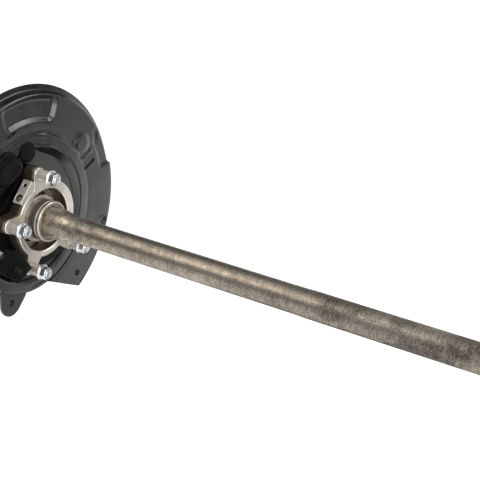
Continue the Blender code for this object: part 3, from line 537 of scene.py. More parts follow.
def rod(centre, radius, x_from, x_to, segments=32, chamfer=0.0):
    """A bar along X, for cutting round holes, with a countersink at both ends if asked."""
    outline = [(x_from, radius), (x_to, radius)]
    if chamfer:
        outline = [
            (x_from, radius + chamfer + 2), (x_from + 2, radius + chamfer), (x_from + 2 + chamfer, radius),
            (x_to - 2 - chamfer, radius), (x_to - 2, radius + chamfer), (x_to, radius + chamfer + 2),
        ]
    bm = spin(outline, segments, False)
    bmesh.ops.translate(bm, vec=(0, *centre), verts=bm.verts)
    return bm


def merged(parts):
    """Several bmeshes as one."""
    whole = bmesh.new()
    for part in parts:
        mesh = bpy.data.meshes.new("part")
        part.to_mesh(mesh)
        part.free()
        whole.from_mesh(mesh)
        bpy.data.meshes.remove(mesh)
    return whole


flange_holes = [rod(polar(69.85, 60 * k), 6.3, -80, -65, 32) for k in range(6)]
flange_holes += [rod(polar(67.85, 30 + 180 * k), 12.0, -80.0, -65.0, 48, 0.8) for k in range(2)]
combine(shaft, merged(flange_holes))
shaft.data.materials.append(TURNED)
for face in shaft.data.polygons:
    x = face.center.x / MM
    bar = x > 10.0 or -66.6 < x < -48.0 or (x < -68 and x > -77.2 and abs(face.normal.x) < 0.2)
    face.material_index = 0 if bar else 1
deliver(shaft, "axle", "forged_steel", "axle_shaft")

# %% [markdown]
# ## Geometry Nodes: pattern round the shaft
# Nuts, bolts, sleeves, studs, balls and sensor windows all stand on circles about the shaft. One tree copies
# a piece round a circle. Its inputs are how many, the circle's radius, the first angle and the step.

# %% Pattern tree


def pattern_tree():
    sockets = (("Count", "Int"), ("Circle Radius", "Float"), ("First Angle", "Float"), ("Step Angle", "Float"), ("Turn Each", "Float"), ("Material", "Material"))
    tree, given = new_tree("pattern_round_shaft", sockets)
    index = add(tree, "GeometryNodeInputIndex").outputs[0]
    angle = calc(tree, "RADIANS", calc(tree, "ADD", given["First Angle"], calc(tree, "MULTIPLY", index, given["Step Angle"])))
    y = calc(tree, "MULTIPLY", calc(tree, "COSINE", angle), given["Circle Radius"])
    z = calc(tree, "MULTIPLY", calc(tree, "SINE", angle), given["Circle Radius"])
    place = add(tree, "ShaderNodeCombineXYZ", {"Y": y, "Z": z}).outputs[0]
    points = add(tree, "GeometryNodePoints", {"Count": given["Count"], "Position": place}).outputs[0]
    turned = add(tree, "ShaderNodeCombineXYZ", {"X": calc(tree, "MULTIPLY", angle, given["Turn Each"])}).outputs[0]
    inputs = {"Points": points, "Instance": given["Geometry"], "Rotation": turned}
    copies = add(tree, "GeometryNodeInstanceOnPoints", inputs)
    end_tree(tree, copies.outputs[0], given["Material"])
    return tree


PATTERN_TREE = pattern_tree()


def repeat(obj, count, radius_mm, first, step, material, turn_each=0.0):
    """Copy an object round the shaft and settle it to one plain mesh."""
    values = {"Count": count, "Circle_Radius": radius_mm * MM, "First_Angle": float(first), "Step_Angle": float(step)}
    run_tree(obj, PATTERN_TREE, Turn_Each=turn_each, Material=material, **values)
    return settle(obj)


print(PATTERN_TREE.name, len(PATTERN_TREE.nodes), "nodes")

# %% [markdown]
# ## Geometry Nodes: screw thread
# A rolled thread is a groove that moves along the bolt by one pitch for each turn. The tree lowers each point
# by a triangle wave of its place along the bolt and its angle. It fades in and out over a short length.

# %% Thread tree


def thread_tree():
    sockets = (("Pitch", "Float"), ("Depth", "Float"), ("From", "Float"), ("To", "Float"), ("Radius", "Float"), ("Material", "Material"))
    tree, given = new_tree("roll_thread", sockets)
    position = add(tree, "ShaderNodeSeparateXYZ", {0: add(tree, "GeometryNodeInputPosition").outputs[0]}).outputs
    turn = calc(tree, "DIVIDE", calc(tree, "ARCTAN2", position["Z"], position["Y"]), 2 * math.pi)
    place = calc(tree, "FRACT", calc(tree, "ADD", calc(tree, "DIVIDE", position["X"], given["Pitch"]), turn))
    wave = calc(tree, "MULTIPLY", calc(tree, "ABSOLUTE", calc(tree, "SUBTRACT", place, 0.5)), 2.0)
    after = calc(tree, "DIVIDE", calc(tree, "SUBTRACT", position["X"], given["From"]), given["Pitch"])
    before = calc(tree, "DIVIDE", calc(tree, "SUBTRACT", given["To"], position["X"]), given["Pitch"])
    fade = add(tree, "ShaderNodeClamp", {0: calc(tree, "MINIMUM", after, before)}).outputs[0]
    radius = calc(tree, "SQRT", calc(tree, "ADD", calc(tree, "POWER", position["Y"], 2.0), calc(tree, "POWER", position["Z"], 2.0)))
    outside = calc(tree, "GREATER_THAN", radius, calc(tree, "MULTIPLY", given["Radius"], 0.7))
    depth = calc(tree, "MULTIPLY", calc(tree, "MULTIPLY", wave, fade), calc(tree, "MULTIPLY", given["Depth"], outside))
    end_tree(tree, moved_radially(tree, given["Geometry"], calc(tree, "MULTIPLY", depth, -1.0)), given["Material"])
    return tree


THREAD_TREE = thread_tree()


def threaded(obj, pitch, x_from, x_to, radius, material):
    values = {"Pitch": pitch * MM, "Depth": pitch * 0.6 * MM, "From": x_from * MM, "To": x_to * MM, "Radius": radius * MM}
    run_tree(obj, THREAD_TREE, Material=material, **values)
    return settle(obj)


def rows(x_from, x_to, radius, step):
    """Evenly spaced outline points, close enough for a thread to show."""
    count = max(1, round(abs(x_to - x_from) / step))
    return [(x_from + (x_to - x_from) * k / count, radius, 0) for k in range(1, count)]


print(THREAD_TREE.name, len(THREAD_TREE.nodes), "nodes")

# %% [markdown]
# ## Wheel studs
# Six studs are pressed in from behind the flange. Each has a round head, a plain shank and a rolled thread
# of 1.5 mm pitch, and its end is turned down to guide the nut.

# %% Wheel studs
stud_corners = [(-61.7, 6.6, 0.6), (-61.9, 8.0, 0.8), (-63.0, 8.6, 0.4), (-66.7, 8.6, 0.2), (-66.7, 6.0, 0.3), (-80.0, 6.0, 0), (-80.6, 5.9, 0)]
stud_corners += rows(-80.6, -110.0, 5.9, 0.3)
stud_corners += [(-110.0, 5.9, 0.4), (-111.5, 4.4, 0.3), (-116.0, 4.0, 0.5)]
stud_corners += [(-116.0, 1.0, 0)]
studs = to_object("wheel_studs", spin(rounded(stud_corners, False, 3), 24, False), ZINC)
threaded(studs, 1.5, -110.5, -81.0, 5.9, ZINC)
repeat(studs, 6, 69.85, 0, 60, ZINC)
deliver(studs, "axle", "bright_zinc", *[f"wheel_stud_{k + 1}" for k in range(6)])

# %% [markdown]
# ## Bearing, collar and sensor ring
# The ball bearing, the sensor ring and the retaining collar are pressed on the shaft in that order. In the
# photograph only the collar and dark rings behind it show inside the case. Their outlines follow the CAD
# sizes, with ground chamfers. The sensor ring's windows are cut with a pattern of 24 bars.

# %% Bearing
BEARING_MIDDLE = -36.0


def groove(side, race_r, radius=6.5, centre_r=30.15):
    half = math.sqrt(radius ** 2 - (race_r - centre_r) ** 2)
    points = []
    for k in range(13):
        x = -half + 2 * half * k / 12
        points.append((BEARING_MIDDLE + x, centre_r + side * math.sqrt(radius ** 2 - x ** 2), 0))
    return points


outer = [(-47.5, 34.8, 0.3)] + groove(1, 34.8) + [(-24.5, 34.8, 0.3), (-24.5, 40.0, 1.2), (-47.5, 40.0, 1.2)]
inner = [(-47.5, 25.5, 0.3)] + groove(-1, 25.5) + [(-24.5, 25.5, 0.3), (-24.5, 20.3, 0.9), (-47.5, 20.3, 0.9)]
outer_ring = to_object("outer_bearing_ring", spin(rounded(outer), 180), GROUND)
deliver(outer_ring, "case", "ground_steel", "bearing_outer_ring")
inner_ring = to_object("inner_bearing_ring", spin(rounded(inner), 144), GROUND)
deliver(inner_ring, "axle", "ground_steel", "bearing_inner_ring")

ball = to_object("bearing_balls", spin([(6.2 * math.cos(math.pi * (k + 0.5) / 16), 6.2 * math.sin(math.pi * (k + 0.5) / 16)) for k in range(16)], 32, False), GROUND)
ball.data.transform(Matrix.Translation((BEARING_MIDDLE * MM, 0, 0)))
repeat(ball, 9, 30.15, 0, 40, GROUND)
deliver(ball, "ball_cage", "ground_steel", *[f"bearing_ball_{k + 1}" for k in range(9)], sharp=80)

cage_outline = [(-27.4, 28.55, 0.3), (-27.4, 31.75, 0.3), (-44.6, 31.75, 0.3), (-44.6, 28.55, 0.3)]
cage = to_object("ball_cage_ring", spin(rounded(cage_outline), 180), CAGE)
pocket = to_object("pocket", spin([(6.5 * math.cos(math.pi * (k + 0.5) / 12), 6.5 * math.sin(math.pi * (k + 0.5) / 12)) for k in range(12)], 24, False))
pocket.data.transform(Matrix.Translation((BEARING_MIDDLE * MM, 0, 0)))
repeat(pocket, 9, 30.15, 0, 40, CAGE)


def cut_with(obj, tool):
    """Cut a piece with another object, which is then thrown away."""
    modifier = obj.modifiers.new("tool", "BOOLEAN")
    modifier.operation = "DIFFERENCE"
    modifier.solver = "EXACT"
    modifier.object = tool
    settle(obj)
    bpy.data.objects.remove(tool)
    return obj


cut_with(cage, pocket)
deliver(cage, "ball_cage", "cage_steel", "bearing_cage")

# %% Collar and sensor ring
collar_corners = [(10.6, 23.8, 0.3), (10.6, 25.5, 0.3), (9.4, 26.7, 0.5), (6.4, 26.7, 0.3), (5.8, 26.1, 0.2), (4.9, 26.1, 0.2), (4.3, 26.7, 0.3), (-9.9, 26.7, 0.5), (-9.9, 20.3, 0.5), (7.4, 20.3, 0.3), (7.8, 22.4, 0.6)]
collar = to_object("pressed_collar", spin(rounded(collar_corners), 200), GROUND)
deliver(collar, "axle", "ground_steel", "retaining_collar")

ring_corners = [(-10.2, 20.3, 0.3), (-10.2, 31.2, 1.4), (-22.2, 31.2, 0.3), (-22.2, 29.6, 0.3), (-11.8, 29.6, 0.8), (-11.8, 21.9, 0.8), (-24.2, 21.9, 0.3), (-24.2, 20.3, 0.3)]
sensor_ring = to_object("sensor_target_ring", spin(rounded(ring_corners), 192), GROUND)
window = bmesh.new()
bmesh.ops.create_cube(window, size=1.0)
bmesh.ops.scale(window, vec=(7.4, 5.0, 4.1), verts=window.verts)
bmesh.ops.bevel(window, geom=window.edges[:], offset=0.5, segments=2, affect="EDGES")
windows = to_object("windows", window)
windows.data.transform(Matrix.Translation((-16.9 * MM, 0, 0)))
repeat(windows, 24, 30.4, 0, 15, GROUND, 1.0)
cut_with(sensor_ring, windows)
deliver(sensor_ring, "axle", "ground_steel", "speed_sensor_ring")

# %% [markdown]
# ## Bearing case
# The case is a forging: a round web that flows into four ears, with a machined face towards the axle tube.
# Its outline is the largest of a circle and four ear shapes, with rounded inside corners, as a die sinker
# would draw it. The walls stay as forged, a little proud of the machined edge.

# %% Case outline
EAR_DEGREES = (94.0, 166.0, 238.0, 310.0)


def blend_up(a, b, softness):
    if abs(a - b) > softness:
        return max(a, b)
    return max(a, b) + (1 - abs(a - b) / softness) ** 2 * softness / 4


def case_radius(degrees, grow=0.0):
    radius = 49.5 + 4.0 * max(0.0, math.cos(math.radians(degrees - 22)))
    for ear in EAR_DEGREES:
        off = abs(math.radians((degrees - ear + 180) % 360 - 180))
        if off > math.radians(60):
            continue
        across = 64.0 * math.sin(off)
        if across < 9.5:
            reach = 64.0 * math.cos(off) + math.sqrt(9.5 ** 2 - across ** 2)
        else:
            reach = 64.0 - (across - 9.5) * 2.3
        radius = blend_up(radius, reach, 7.0)
    return radius + grow


def edge(grow):
    return lambda degrees: case_radius(degrees, grow)


case_rows = [(0.0, 42.4), (0.0, edge(-1.1)), (-0.25, edge(-0.6)), (-0.8, edge(-0.1)), (-1.1, edge(0.0)), (-3.0, edge(0.0))]
case_rows += [(-3.2, edge(0.35)), (-3.8, edge(0.85)), (-4.8, edge(1.15)), (-6.0, edge(1.2)), (-16.4, edge(1.2)), (-17.8, edge(0.9)), (-18.5, edge(0.1)), (-18.7, edge(-0.9))]
case_rows += [(-18.7, 48.4), (-19.6, 47.5), (-20.0, 47.3), (-57.2, 47.3), (-58.0, 46.5), (-58.0, 38.3), (-57.2, 37.5), (-50.5, 37.5), (-50.5, 35.3), (-47.8, 35.3)]
case_rows += [(-47.8, 40.3), (-24.2, 40.3), (-24.2, 42.8), (-22.3, 42.8), (-22.3, 41.4), (-22.1, 41.2), (-1.2, 41.2)]
case = to_object("bearing_housing", spin(case_rows, 480), SKIN, TURNED, BORE, PAINTED_LIGHT_PAD)
print("case face is", round(case_radius(94) * 2), "mm over its top ear's circle")

# %% [markdown]
# ### Sensor pad and holes
# A flat pad at the upper left takes the wheel speed sensor: a larger hole for its nose and a small one for
# its screw. The pad is a block joined to the case, and the holes are cut afterwards, with countersinks.

# %% Pad and holes
PAD_TURN = Matrix((Vector((0, *polar(1, 134.6))), Vector((1, 0, 0)), Vector((0, *polar(1, 224.6))))).transposed().to_4x4()


def pad_block():
    bm = bmesh.new()
    bmesh.ops.create_cube(bm, size=1.0)
    bmesh.ops.scale(bm, vec=(12.1, 14.5, 32.5), verts=bm.verts)
    bmesh.ops.bevel(bm, geom=bm.edges[:], offset=0.7, segments=3, affect="EDGES")
    bmesh.ops.translate(bm, vec=(49.75, -7.75, -13.25), verts=bm.verts)
    bmesh.ops.transform(bm, matrix=PAD_TURN, verts=bm.verts)
    return bm


def pad_hole(along, radius, depth, segments=40):
    bm = spin([(55.8 - depth, radius), (55.0, radius), (55.9, radius + 0.9), (58.0, radius + 3.0)], segments, False)
    bmesh.ops.translate(bm, vec=(0, -8.5, along), verts=bm.verts)
    bmesh.ops.transform(bm, matrix=PAD_TURN, verts=bm.verts)
    return bm


combine(case, pad_block(), "UNION")
case_holes = [rod(polar(64.0, degrees), 5.3, -21, 2, 40) for degrees in EAR_DEGREES]
case_holes += [pad_hole(-4.6, 5.0, 22.0), pad_hole(-22.0, 2.5, 7.0)]
combine(case, merged(case_holes))
for face in case.data.polygons:
    x = face.center.x / MM
    radius = math.hypot(face.center.y, face.center.z) / MM
    height, _, across = PAD_TURN.inverted() @ (face.center / MM)
    pad_face = height > 54.8 and -29.6 < across < 3.1
    face.material_index = 2 if x < -1.1 and radius < 41.9 else 1 if x > -3.05 or radius < 46.4 else 3 if pad_face else 0
deliver(case, "case", "machined_steel", "bearing_case")

# %% Snap ring and hub seal
snap_corners = [(-22.6, 37.8, 0.2), (-22.6, 42.4, 0.2), (-23.9, 42.4, 0.2), (-23.9, 37.8, 0.2)]
snap = to_object("spring_ring", spin(rounded(snap_corners), 160), GROUND)
gap_block = bmesh.new()
bmesh.ops.create_cube(gap_block, size=1.0)
bmesh.ops.scale(gap_block, vec=(6, 11.2, 14), verts=gap_block.verts)
bmesh.ops.translate(gap_block, vec=(-23.2, 0, -40), verts=gap_block.verts)
combine(snap, gap_block)
deliver(snap, "case", "ground_steel", "bearing_snap_ring")

cup_corners = [(-50.8, 36.0, 0.2), (-50.8, 37.2, 0.2), (-57.6, 37.2, 1.0), (-57.6, 31.1, 0.2), (-56.4, 31.1, 0.2), (-56.4, 36.0, 0.6)]
cup = to_object("seal_cup", spin(rounded(cup_corners), 144), TURNED)
deliver(cup, "case", "machined_steel", "hub_seal_cup")
lip_corners = [(-56.1, 35.7, 0.3), (-56.1, 28.0, 0.5), (-57.0, 26.3, 0.2), (-55.4, 26.3, 0.3), (-51.4, 28.6, 0.4), (-54.3, 30.4, 0.8), (-54.3, 35.7, 0.3)]
lip = to_object("seal_lip", spin(rounded(lip_corners), 144), RUBBER)
deliver(lip, "case", "black_rubber", "hub_seal_lip")

# %% [markdown]
# ## Case bolts, sleeves and flange nuts
# Four bolts come through from behind the plate. Each carries a bright turned sleeve, which stands for the
# axle tube's flange, and a flange nut run up against it. The nut is a hexagon that grows out of a round
# washer, with its corners turned off. The four stand 72 degrees apart, as a fifth would spoil the gap for the
# spring, so the pattern tree places them.

# %% Fasteners


def hexagon(across_flats, corner_r):
    """A hexagon with its corners cut by a cone."""
    def radius(degrees):
        flat = across_flats / 2 / math.cos(math.radians((degrees % 60) - 30))
        return min(flat, corner_r)
    return radius


bolt_corners = [(-37.4, 5.0, 0), (-37.4, 7.4, 0.8), (-36.2, 8.6, 0.6), (-31.4, 8.6, 0.3), (-31.4, 5.0, 0.2), (14.0, 5.0, 0)]
bolt_corners += rows(14.0, 28.8, 5.0, 0.25)
bolt_corners += [(28.8, 5.0, 0.2), (29.6, 4.1, 0.2), (29.6, 1.5, 0)]
bolts = to_object("case_bolts", spin(rounded(bolt_corners, False, 3), 30, False), ZINC)
threaded(bolts, 1.25, 15.0, 29.2, 5.0, ZINC)
repeat(bolts, 4, 64.0, 94, 72, ZINC)
deliver(bolts, "case", "bright_zinc", *[f"case_bolt_{k + 1}" for k in range(4)])

sleeve_corners = [(0.3, 5.3, 0.2), (0.3, 7.8, 0.5), (17.7, 7.8, 0.5), (17.7, 5.3, 0.2)]
sleeves = to_object("case_bolt_sleeves", spin(rounded(sleeve_corners), 48), SLEEVE)
repeat(sleeves, 4, 64.0, 94, 72, SLEEVE)
deliver(sleeves, "case", "machined_steel", *[f"bolt_sleeve_{k + 1}" for k in range(4)])

nut_rows = [(18.0, 5.3), (18.0, 9.7), (18.25, 10.2), (19.0, 10.3), (19.5, 10.1), (20.0, 9.4), (20.6, hexagon(15.6, 8.9)), (21.3, hexagon(14.7, 8.43)), (22.0, hexagon(14.6, 8.43))]
nut_rows += [(26.9, hexagon(14.6, 8.43)), (27.4, hexagon(14.6, 8.1)), (28.0, hexagon(14.6, 7.5)), (28.4, 6.9), (28.4, 5.9), (27.9, 5.3)]
nuts = to_object("flange_nuts", spin(nut_rows, 96), ZINC)
repeat(nuts, 4, 64.0, 94, 72, ZINC)
deliver(nuts, "case", "bright_zinc", *[f"flange_nut_{k + 1}" for k in range(4)], sharp=24)

# %% [markdown]
# ## Backing plate
# The plate is stamped from 2.8 mm sheet. A press bends every form into it at once, so no edge is sharp. It is
# built the same way: an outline is spun into a fine grid, the press forms push the grid's points along the
# shaft, and the grid is then given its thickness. Holes and the caliper's open sector are cut last.

# %% Press forms
SHEET = 2.8
FACE_X = -25.0
plate_corners = [(-28.3, 47.6, 0), (-28.3, 86.2, 1.6), (-22.1, 90.6, 2.9), (-22.9, 104.6, 2.4)]
plate_corners += [(-25.3, 109.6, 2.4), (FACE_X, 116.0, 3.0), (FACE_X, 158.0, 3.7), (-36.0, 160.5, 1.6), (-38.4, 168.0, 0)]


def back_of(corners, thick):
    """The far side of a bent sheet: each corner on the mitre, its fillet wider or tighter by the thickness."""
    points = [Vector(corner[:2]) for corner in corners]
    ways = [(b - a).normalized() for a, b in zip(points, points[1:])]
    back = []
    for i, (x, r, fillet) in enumerate(corners):
        before, after = ways[max(i - 1, 0)], ways[min(i, len(ways) - 1)]
        bend = math.atan2(after.x * before.y - after.y * before.x, before.dot(after))
        middle = (before + after).normalized()
        reach = thick / math.cos(bend / 2)
        back.append((x - middle.y * reach, r + middle.x * reach, fillet + thick * math.tan(bend / 2) if fillet else 0))
    return back


def smooth_step(value, low, high):
    t = min(1.0, max(0.0, (value - low) / (high - low)))
    return t * t * (3 - 2 * t)


def window_of(value, low, high, soft):
    """1 between low and high, falling to 0 over a soft edge outside them."""
    return smooth_step(value, low - soft, low) * (1 - smooth_step(value, high, high + soft))


def inside_box(across, along, corner):
    """Depth inside a box with round corners. Both distances are counted from its sides outwards."""
    a, b = across + corner, along + corner
    return corner - math.hypot(max(a, 0), max(b, 0)) - min(max(a, b), 0)


def round_press(y, z, centre, half_y, half_z, depth):
    """A round or oval dent."""
    off = math.hypot((y - centre[0]) / half_y, (z - centre[1]) / half_z)
    return depth * (1 - smooth_step(off, 0.45, 1.0))


def apart(point, start, end):
    """Distance of a point from a straight line between two ends."""
    a, way = Vector(point) - Vector(start), Vector(end) - Vector(start)
    return (a - way * min(1, max(0, a.dot(way) / way.length_squared))).length


def upper(turn):
    """1 on the upper right of the plate, up to the plug, where the ridge stands higher."""
    return smooth_step(turn, -30.0, 34.0) * (1 - smooth_step(turn, 64.0, 81.0))


def press_form(radius, degrees):
    """How far the press pushed the sheet along the shaft, in millimetres."""
    turn = (degrees + 180) % 360 - 180
    y, z = polar(radius, degrees)
    tray = inside_box(abs(radius - 138.6) - 17.4, abs(math.radians(turn - 83.6)) * 138.6 - 48.2, 11.0)
    push = -5.0 * smooth_step(tray, 0.0, 6.5)
    push += 2.6 * upper(turn) * smooth_step(radius, 86.6, 90.4) * (1 - smooth_step(radius, 104.6, 109.6))
    push += round_press(y, z, (102.8, 63.8), 19.0, 19.0, 2.2)
    push -= 1.7 * window_of(turn, 8.3, 24.0, 1.7) * window_of(radius, 142.0, 158.5, 4.0)
    push += 1.3 * (1 - smooth_step(apart((y, z), (101.0, 42.0), (121.0, 49.0)), 0.6, 4.0))
    push -= round_press(y, z, (133.6, 67.0), 6.0, 9.0, 2.4)
    push -= round_press(y, z, (136.0, -60.5), 8.0, 8.0, 2.0)
    return push


def wider(radius, degrees):
    """The press also drew the sheet sideways: a wide flank inside the ridge, and a wider face at the right."""
    turn = (degrees + 180) % 360 - 180
    flank = 4.6 * smooth_step(radius, 56.0, 80.0) * (1 - smooth_step(radius, 86.6, 90.2))
    face = 4.2 * window_of(turn, -60.0, 5.6, 2.4) * window_of(radius, 158.0, 161.0, 6.8)
    return radius - flank * upper(turn) + face


def dense(outline, longest):
    """Add points to an outline so that no step is longer than a given length."""
    points = [outline[0]]
    for a, b in zip(outline, outline[1:]):
        count = max(1, math.ceil(math.dist(a, b) / longest))
        points += [(a[0] + (b[0] - a[0]) * k / count, a[1] + (b[1] - a[1]) * k / count) for k in range(1, count + 1)]
    return points


def plate_grid(segments=480):
    front = dense(rounded(plate_corners, False, 5), 1.7)
    back = dense(rounded(back_of(plate_corners, SHEET), False, 5), 1.7)
    bm = bmesh.new()
    rings = []
    for x, r in front + back[::-1]:
        ring = []
        for k in range(segments):
            degrees = 360 * k / segments
            ring.append(bm.verts.new((x + press_form(r, degrees), *polar(wider(r, degrees), degrees))))
        rings.append(ring)
    for a, b in zip(rings, rings[1:] + rings[:1]):
        for k in range(segments):
            j = (k + 1) % segments
            bm.faces.new((a[k], a[j], b[j], b[k]))
    bmesh.ops.recalc_face_normals(bm, faces=bm.faces)
    return bm


plate = to_object("stamped_backing_plate", plate_grid(), COAT)
print("plate grid:", len(plate.data.polygons), "faces")

# %% [markdown]
# ### Caliper sector, ears and holes
# The bottom of the plate is open for the caliper, and two ears carry its bolts. The sector is cut away, the
# left ear is joined on, and the holes are cut through both.

# %% Cut the plate


def arc(centre, radius, start, end, steps):
    points = []
    for k in range(steps + 1):
        a, b = polar(radius, start + (end - start) * k / steps)
        points.append((centre[0] + a, centre[1] + b))
    return points


def capsule(centre, length, width, degrees, steps=10):
    along = Vector(polar(1, degrees))
    outline = []
    for side in (1, -1):
        end = Vector(centre) + along * (length - width) / 2 * side
        outline += arc(end, width / 2, degrees - 90 * side, degrees - 90 * side + 180, steps)
    return outline


def prism(outline, x_from, x_to):
    """Extrude a (y, z) outline along X."""
    bm = bmesh.new()
    face = bm.faces.new([bm.verts.new((x_from, y, z)) for y, z in outline])
    result = bmesh.ops.extrude_face_region(bm, geom=[face])
    moved = [item for item in result["geom"] if isinstance(item, bmesh.types.BMVert)]
    bmesh.ops.translate(bm, vec=(x_to - x_from, 0, 0), verts=moved)
    bmesh.ops.recalc_face_normals(bm, faces=bm.faces)
    return bm


def turns_right(a, b, c):
    return (b[0] - a[0]) * (c[1] - a[1]) - (b[1] - a[1]) * (c[0] - a[0]) <= 0


def hull(circles, steps=48):
    """Convex outline round circles of (centre, radius)."""
    points = sorted({(round(a, 5), round(b, 5)) for c, r in circles for a, b in arc(c, r, 0, 360 - 360 / steps, steps - 1)})
    chains = []
    for sequence in (points, points[::-1]):
        kept = []
        for p in sequence:
            while len(kept) > 1 and turns_right(kept[-2], kept[-1], p):
                kept.pop()
            kept.append(p)
        chains += kept[:-1]
    return chains


RIGHT_EAR, LEFT_EAR = polar(141.1, 303.17), polar(117.4, 244.68)


def caliper_sector(corner=9.0, rim=162.5):
    """The open sector. Its right edge is tangent to the ear, whose outer corner is round."""
    ear, start = Vector(RIGHT_EAR), Vector(polar(105.0, 278.9))
    tangent = math.asin(18.2 / (ear - start).length)
    way = Matrix.Rotation(-tangent, 2) @ (ear - start).normalized()
    inward = Vector((-way.y, way.x))
    base = start + inward * corner
    run = -base.dot(way) + math.sqrt(base.dot(way) ** 2 - base.length_squared + (rim - corner) ** 2)
    centre = base + way * run
    first = math.degrees(math.atan2(centre.y, centre.x))
    last = math.degrees(math.atan2(-inward.y, -inward.x))
    outline = [polar(210.0, 295.9)] + arc(centre, corner, first, last, 8)
    outline += arc((0, 0), 105.0, 278.9, 226.0, 60)
    outline += [polar(193.2, 226.0), polar(252.0, 263.0)]
    return prism(outline, -10, -52)


def left_ear():
    circles = [(LEFT_EAR, 18.2), (polar(105.0, 238.18), 12.0), (polar(105.0, 251.18), 12.0)]
    bm = prism(hull(circles), FACE_X, FACE_X - SHEET)
    return bm


combine(plate, caliper_sector())
combine(plate, left_ear(), "UNION")
BOOT_PLACE = polar(91.3, 118.8)
seat_rings = [rod((0.0, 88.0), 14.0, -31.7, -21.7, 64), prism(capsule(BOOT_PLACE, 51.0, 35.0, 25.0, 24), -31.7, -21.7)]
combine(plate, merged(seat_rings), "UNION")
plate_holes = [rod(place, 4.6, -45, -15, 40) for place in (RIGHT_EAR, LEFT_EAR)]
plate_holes += [rod(polar(64.0, degrees), 5.3, -45, -15, 40) for degrees in EAR_DEGREES]
plate_holes += [rod((0.0, 88.0), 11.5, -45, -15, 64), prism(capsule(BOOT_PLACE, 46.0, 30.0, 25.0, 24), -15, -45)]
plate_holes += [rod(polar(112.8, 78.4), 1.8, -45, -15, 24)]
plate_holes += [prism(arc((0, 0), 100.5, 261, 277, 24) + arc((0, 0), 98.5, 277, 261, 24), -15, -45)]
combine(plate, merged(plate_holes))
slots = [capsule(polar(120.0, 14.8), 24.0, 6.4, 18.0), capsule(polar(119.0, 100.9), 17.0, 4.4, 11.0)]
combine(plate, merged([prism(slot, -15, -27.3) for slot in slots]))
deliver(plate, "case", "black_coat", "backing_plate")

# %% [markdown]
# ## Pieces kept from the CAD
# The anchor plate, the cable bracket and the weld nuts have the right shape already. What they lack is the
# small radius that pressing, sawing and paint leave on every edge. Each is copied, its loose triangles are
# merged, flat areas are joined again, and a bevel rounds the edges.

# %% Soften CAD pieces


def softened(node, name, material, width, slot, body="case", segments=3):
    bm = bmesh.new()
    bm.from_mesh(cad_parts[node].data)
    bmesh.ops.remove_doubles(bm, verts=bm.verts, dist=2e-6)
    bmesh.ops.dissolve_limit(bm, angle_limit=math.radians(1.5), verts=bm.verts, edges=bm.edges)
    bmesh.ops.scale(bm, vec=(1 / MM, 1 / MM, 1 / MM), verts=bm.verts)
    obj = to_object(name, bm, material)
    modifier = obj.modifiers.new("edges", "BEVEL")
    modifier.width = width * MM
    modifier.segments = segments
    modifier.limit_method = "ANGLE"
    modifier.angle_limit = math.radians(38)
    settle(obj)
    return deliver(obj, body, slot, node, sharp=40)


softened("anchor_plate", "anchor_plate_body", OXIDE, 0.8, "black_coat")
softened("cable_bracket", "bent_cable_bracket", OXIDE, 0.6, "black_coat")
softened("caliper_weld_nut_1", "weld_nut_right", COAT, 0.5, "black_coat")
softened("caliper_weld_nut_2", "weld_nut_left", COAT, 0.5, "black_coat")
softened("bracket_bolt", "bracket_bolt_body", ZINC, 0.25, "bright_zinc")

# %% [markdown]
# ## Plug and boot
# Two rubber pieces close the plate's openings. The plug is a turned button with a lip. The boot is an oval
# cap over the parking brake's lever, with a thick lip and two soft folds, so its rings follow one oval that
# grows and shrinks with height.

# %% Plug and boot
plug_corners = [(-17.9, 1.5, 0), (-18.0, 4.6, 0.6), (-18.7, 5.4, 0.5), (-18.3, 8.2, 0.8), (-19.4, 12.4, 0.8), (-20.6, 13.3, 0.6), (-21.4, 13.3, 0.3), (-21.4, 11.2, 0.3), (-31.1, 11.2, 0.8), (-32.6, 9.0, 1.0), (-32.6, 2.0, 0)]
plug = to_object("rubber_plug", spin(rounded(plug_corners, False), 72, False), RUBBER)
plug.data.transform(Matrix.Translation((0, 0, 88 * MM)))
deliver(plug, "case", "black_rubber", "inspection_plug")

boot_levels = [(-31.1, -1.6), (-30.4, -0.5), (-29.8, -0.3), (-21.4, -0.3), (-21.4, 1.6), (-21.1, 2.0), (-19.6, 2.0), (-19.0, 1.6), (-18.2, 0.1), (-17.6, -0.5), (-16.6, -0.9)]
boot_levels += [(-14.5, -1.0), (-13.4, -1.6), (-12.6, -2.6), (-11.8, -2.7), (-11.0, -2.2), (-9.6, -1.9), (-8.4, -2.5), (-6.6, -4.0), (-4.6, -5.6), (-2.6, -7.6), (-1.4, -9.4), (-0.7, -11.4), (-0.5, -13.6)]
boot_bm = bmesh.new()
boot_rings = []
for x, grow in boot_levels:
    ring = capsule(BOOT_PLACE, 46.0 + 2 * grow, 30.0 + 2 * grow, 25.0, 24)
    boot_rings.append([boot_bm.verts.new((x, y, z)) for y, z in ring])
for a, b in zip(boot_rings, boot_rings[1:]):
    for k in range(len(a)):
        j = (k + 1) % len(a)
        boot_bm.faces.new((a[k], a[j], b[j], b[k]))
boot_bm.faces.new(boot_rings[0])
boot_bm.faces.new(boot_rings[-1])
bmesh.ops.recalc_face_normals(boot_bm, faces=boot_bm.faces)
boot = to_object("rubber_boot", boot_bm, RUBBER)
deliver(boot, "case", "black_rubber", "cable_boot", sharp=50)

# %% [markdown]
# ## Floor and light
# The photograph has a plain white ground. The floor lies well below the part, which hangs from its mount, and
# it is white only to the eye, to glossy rays and through glass. The key light is a softbox at the upper left,
# above the plate: it puts the bright streak on the shaft.

# %% Floor and light


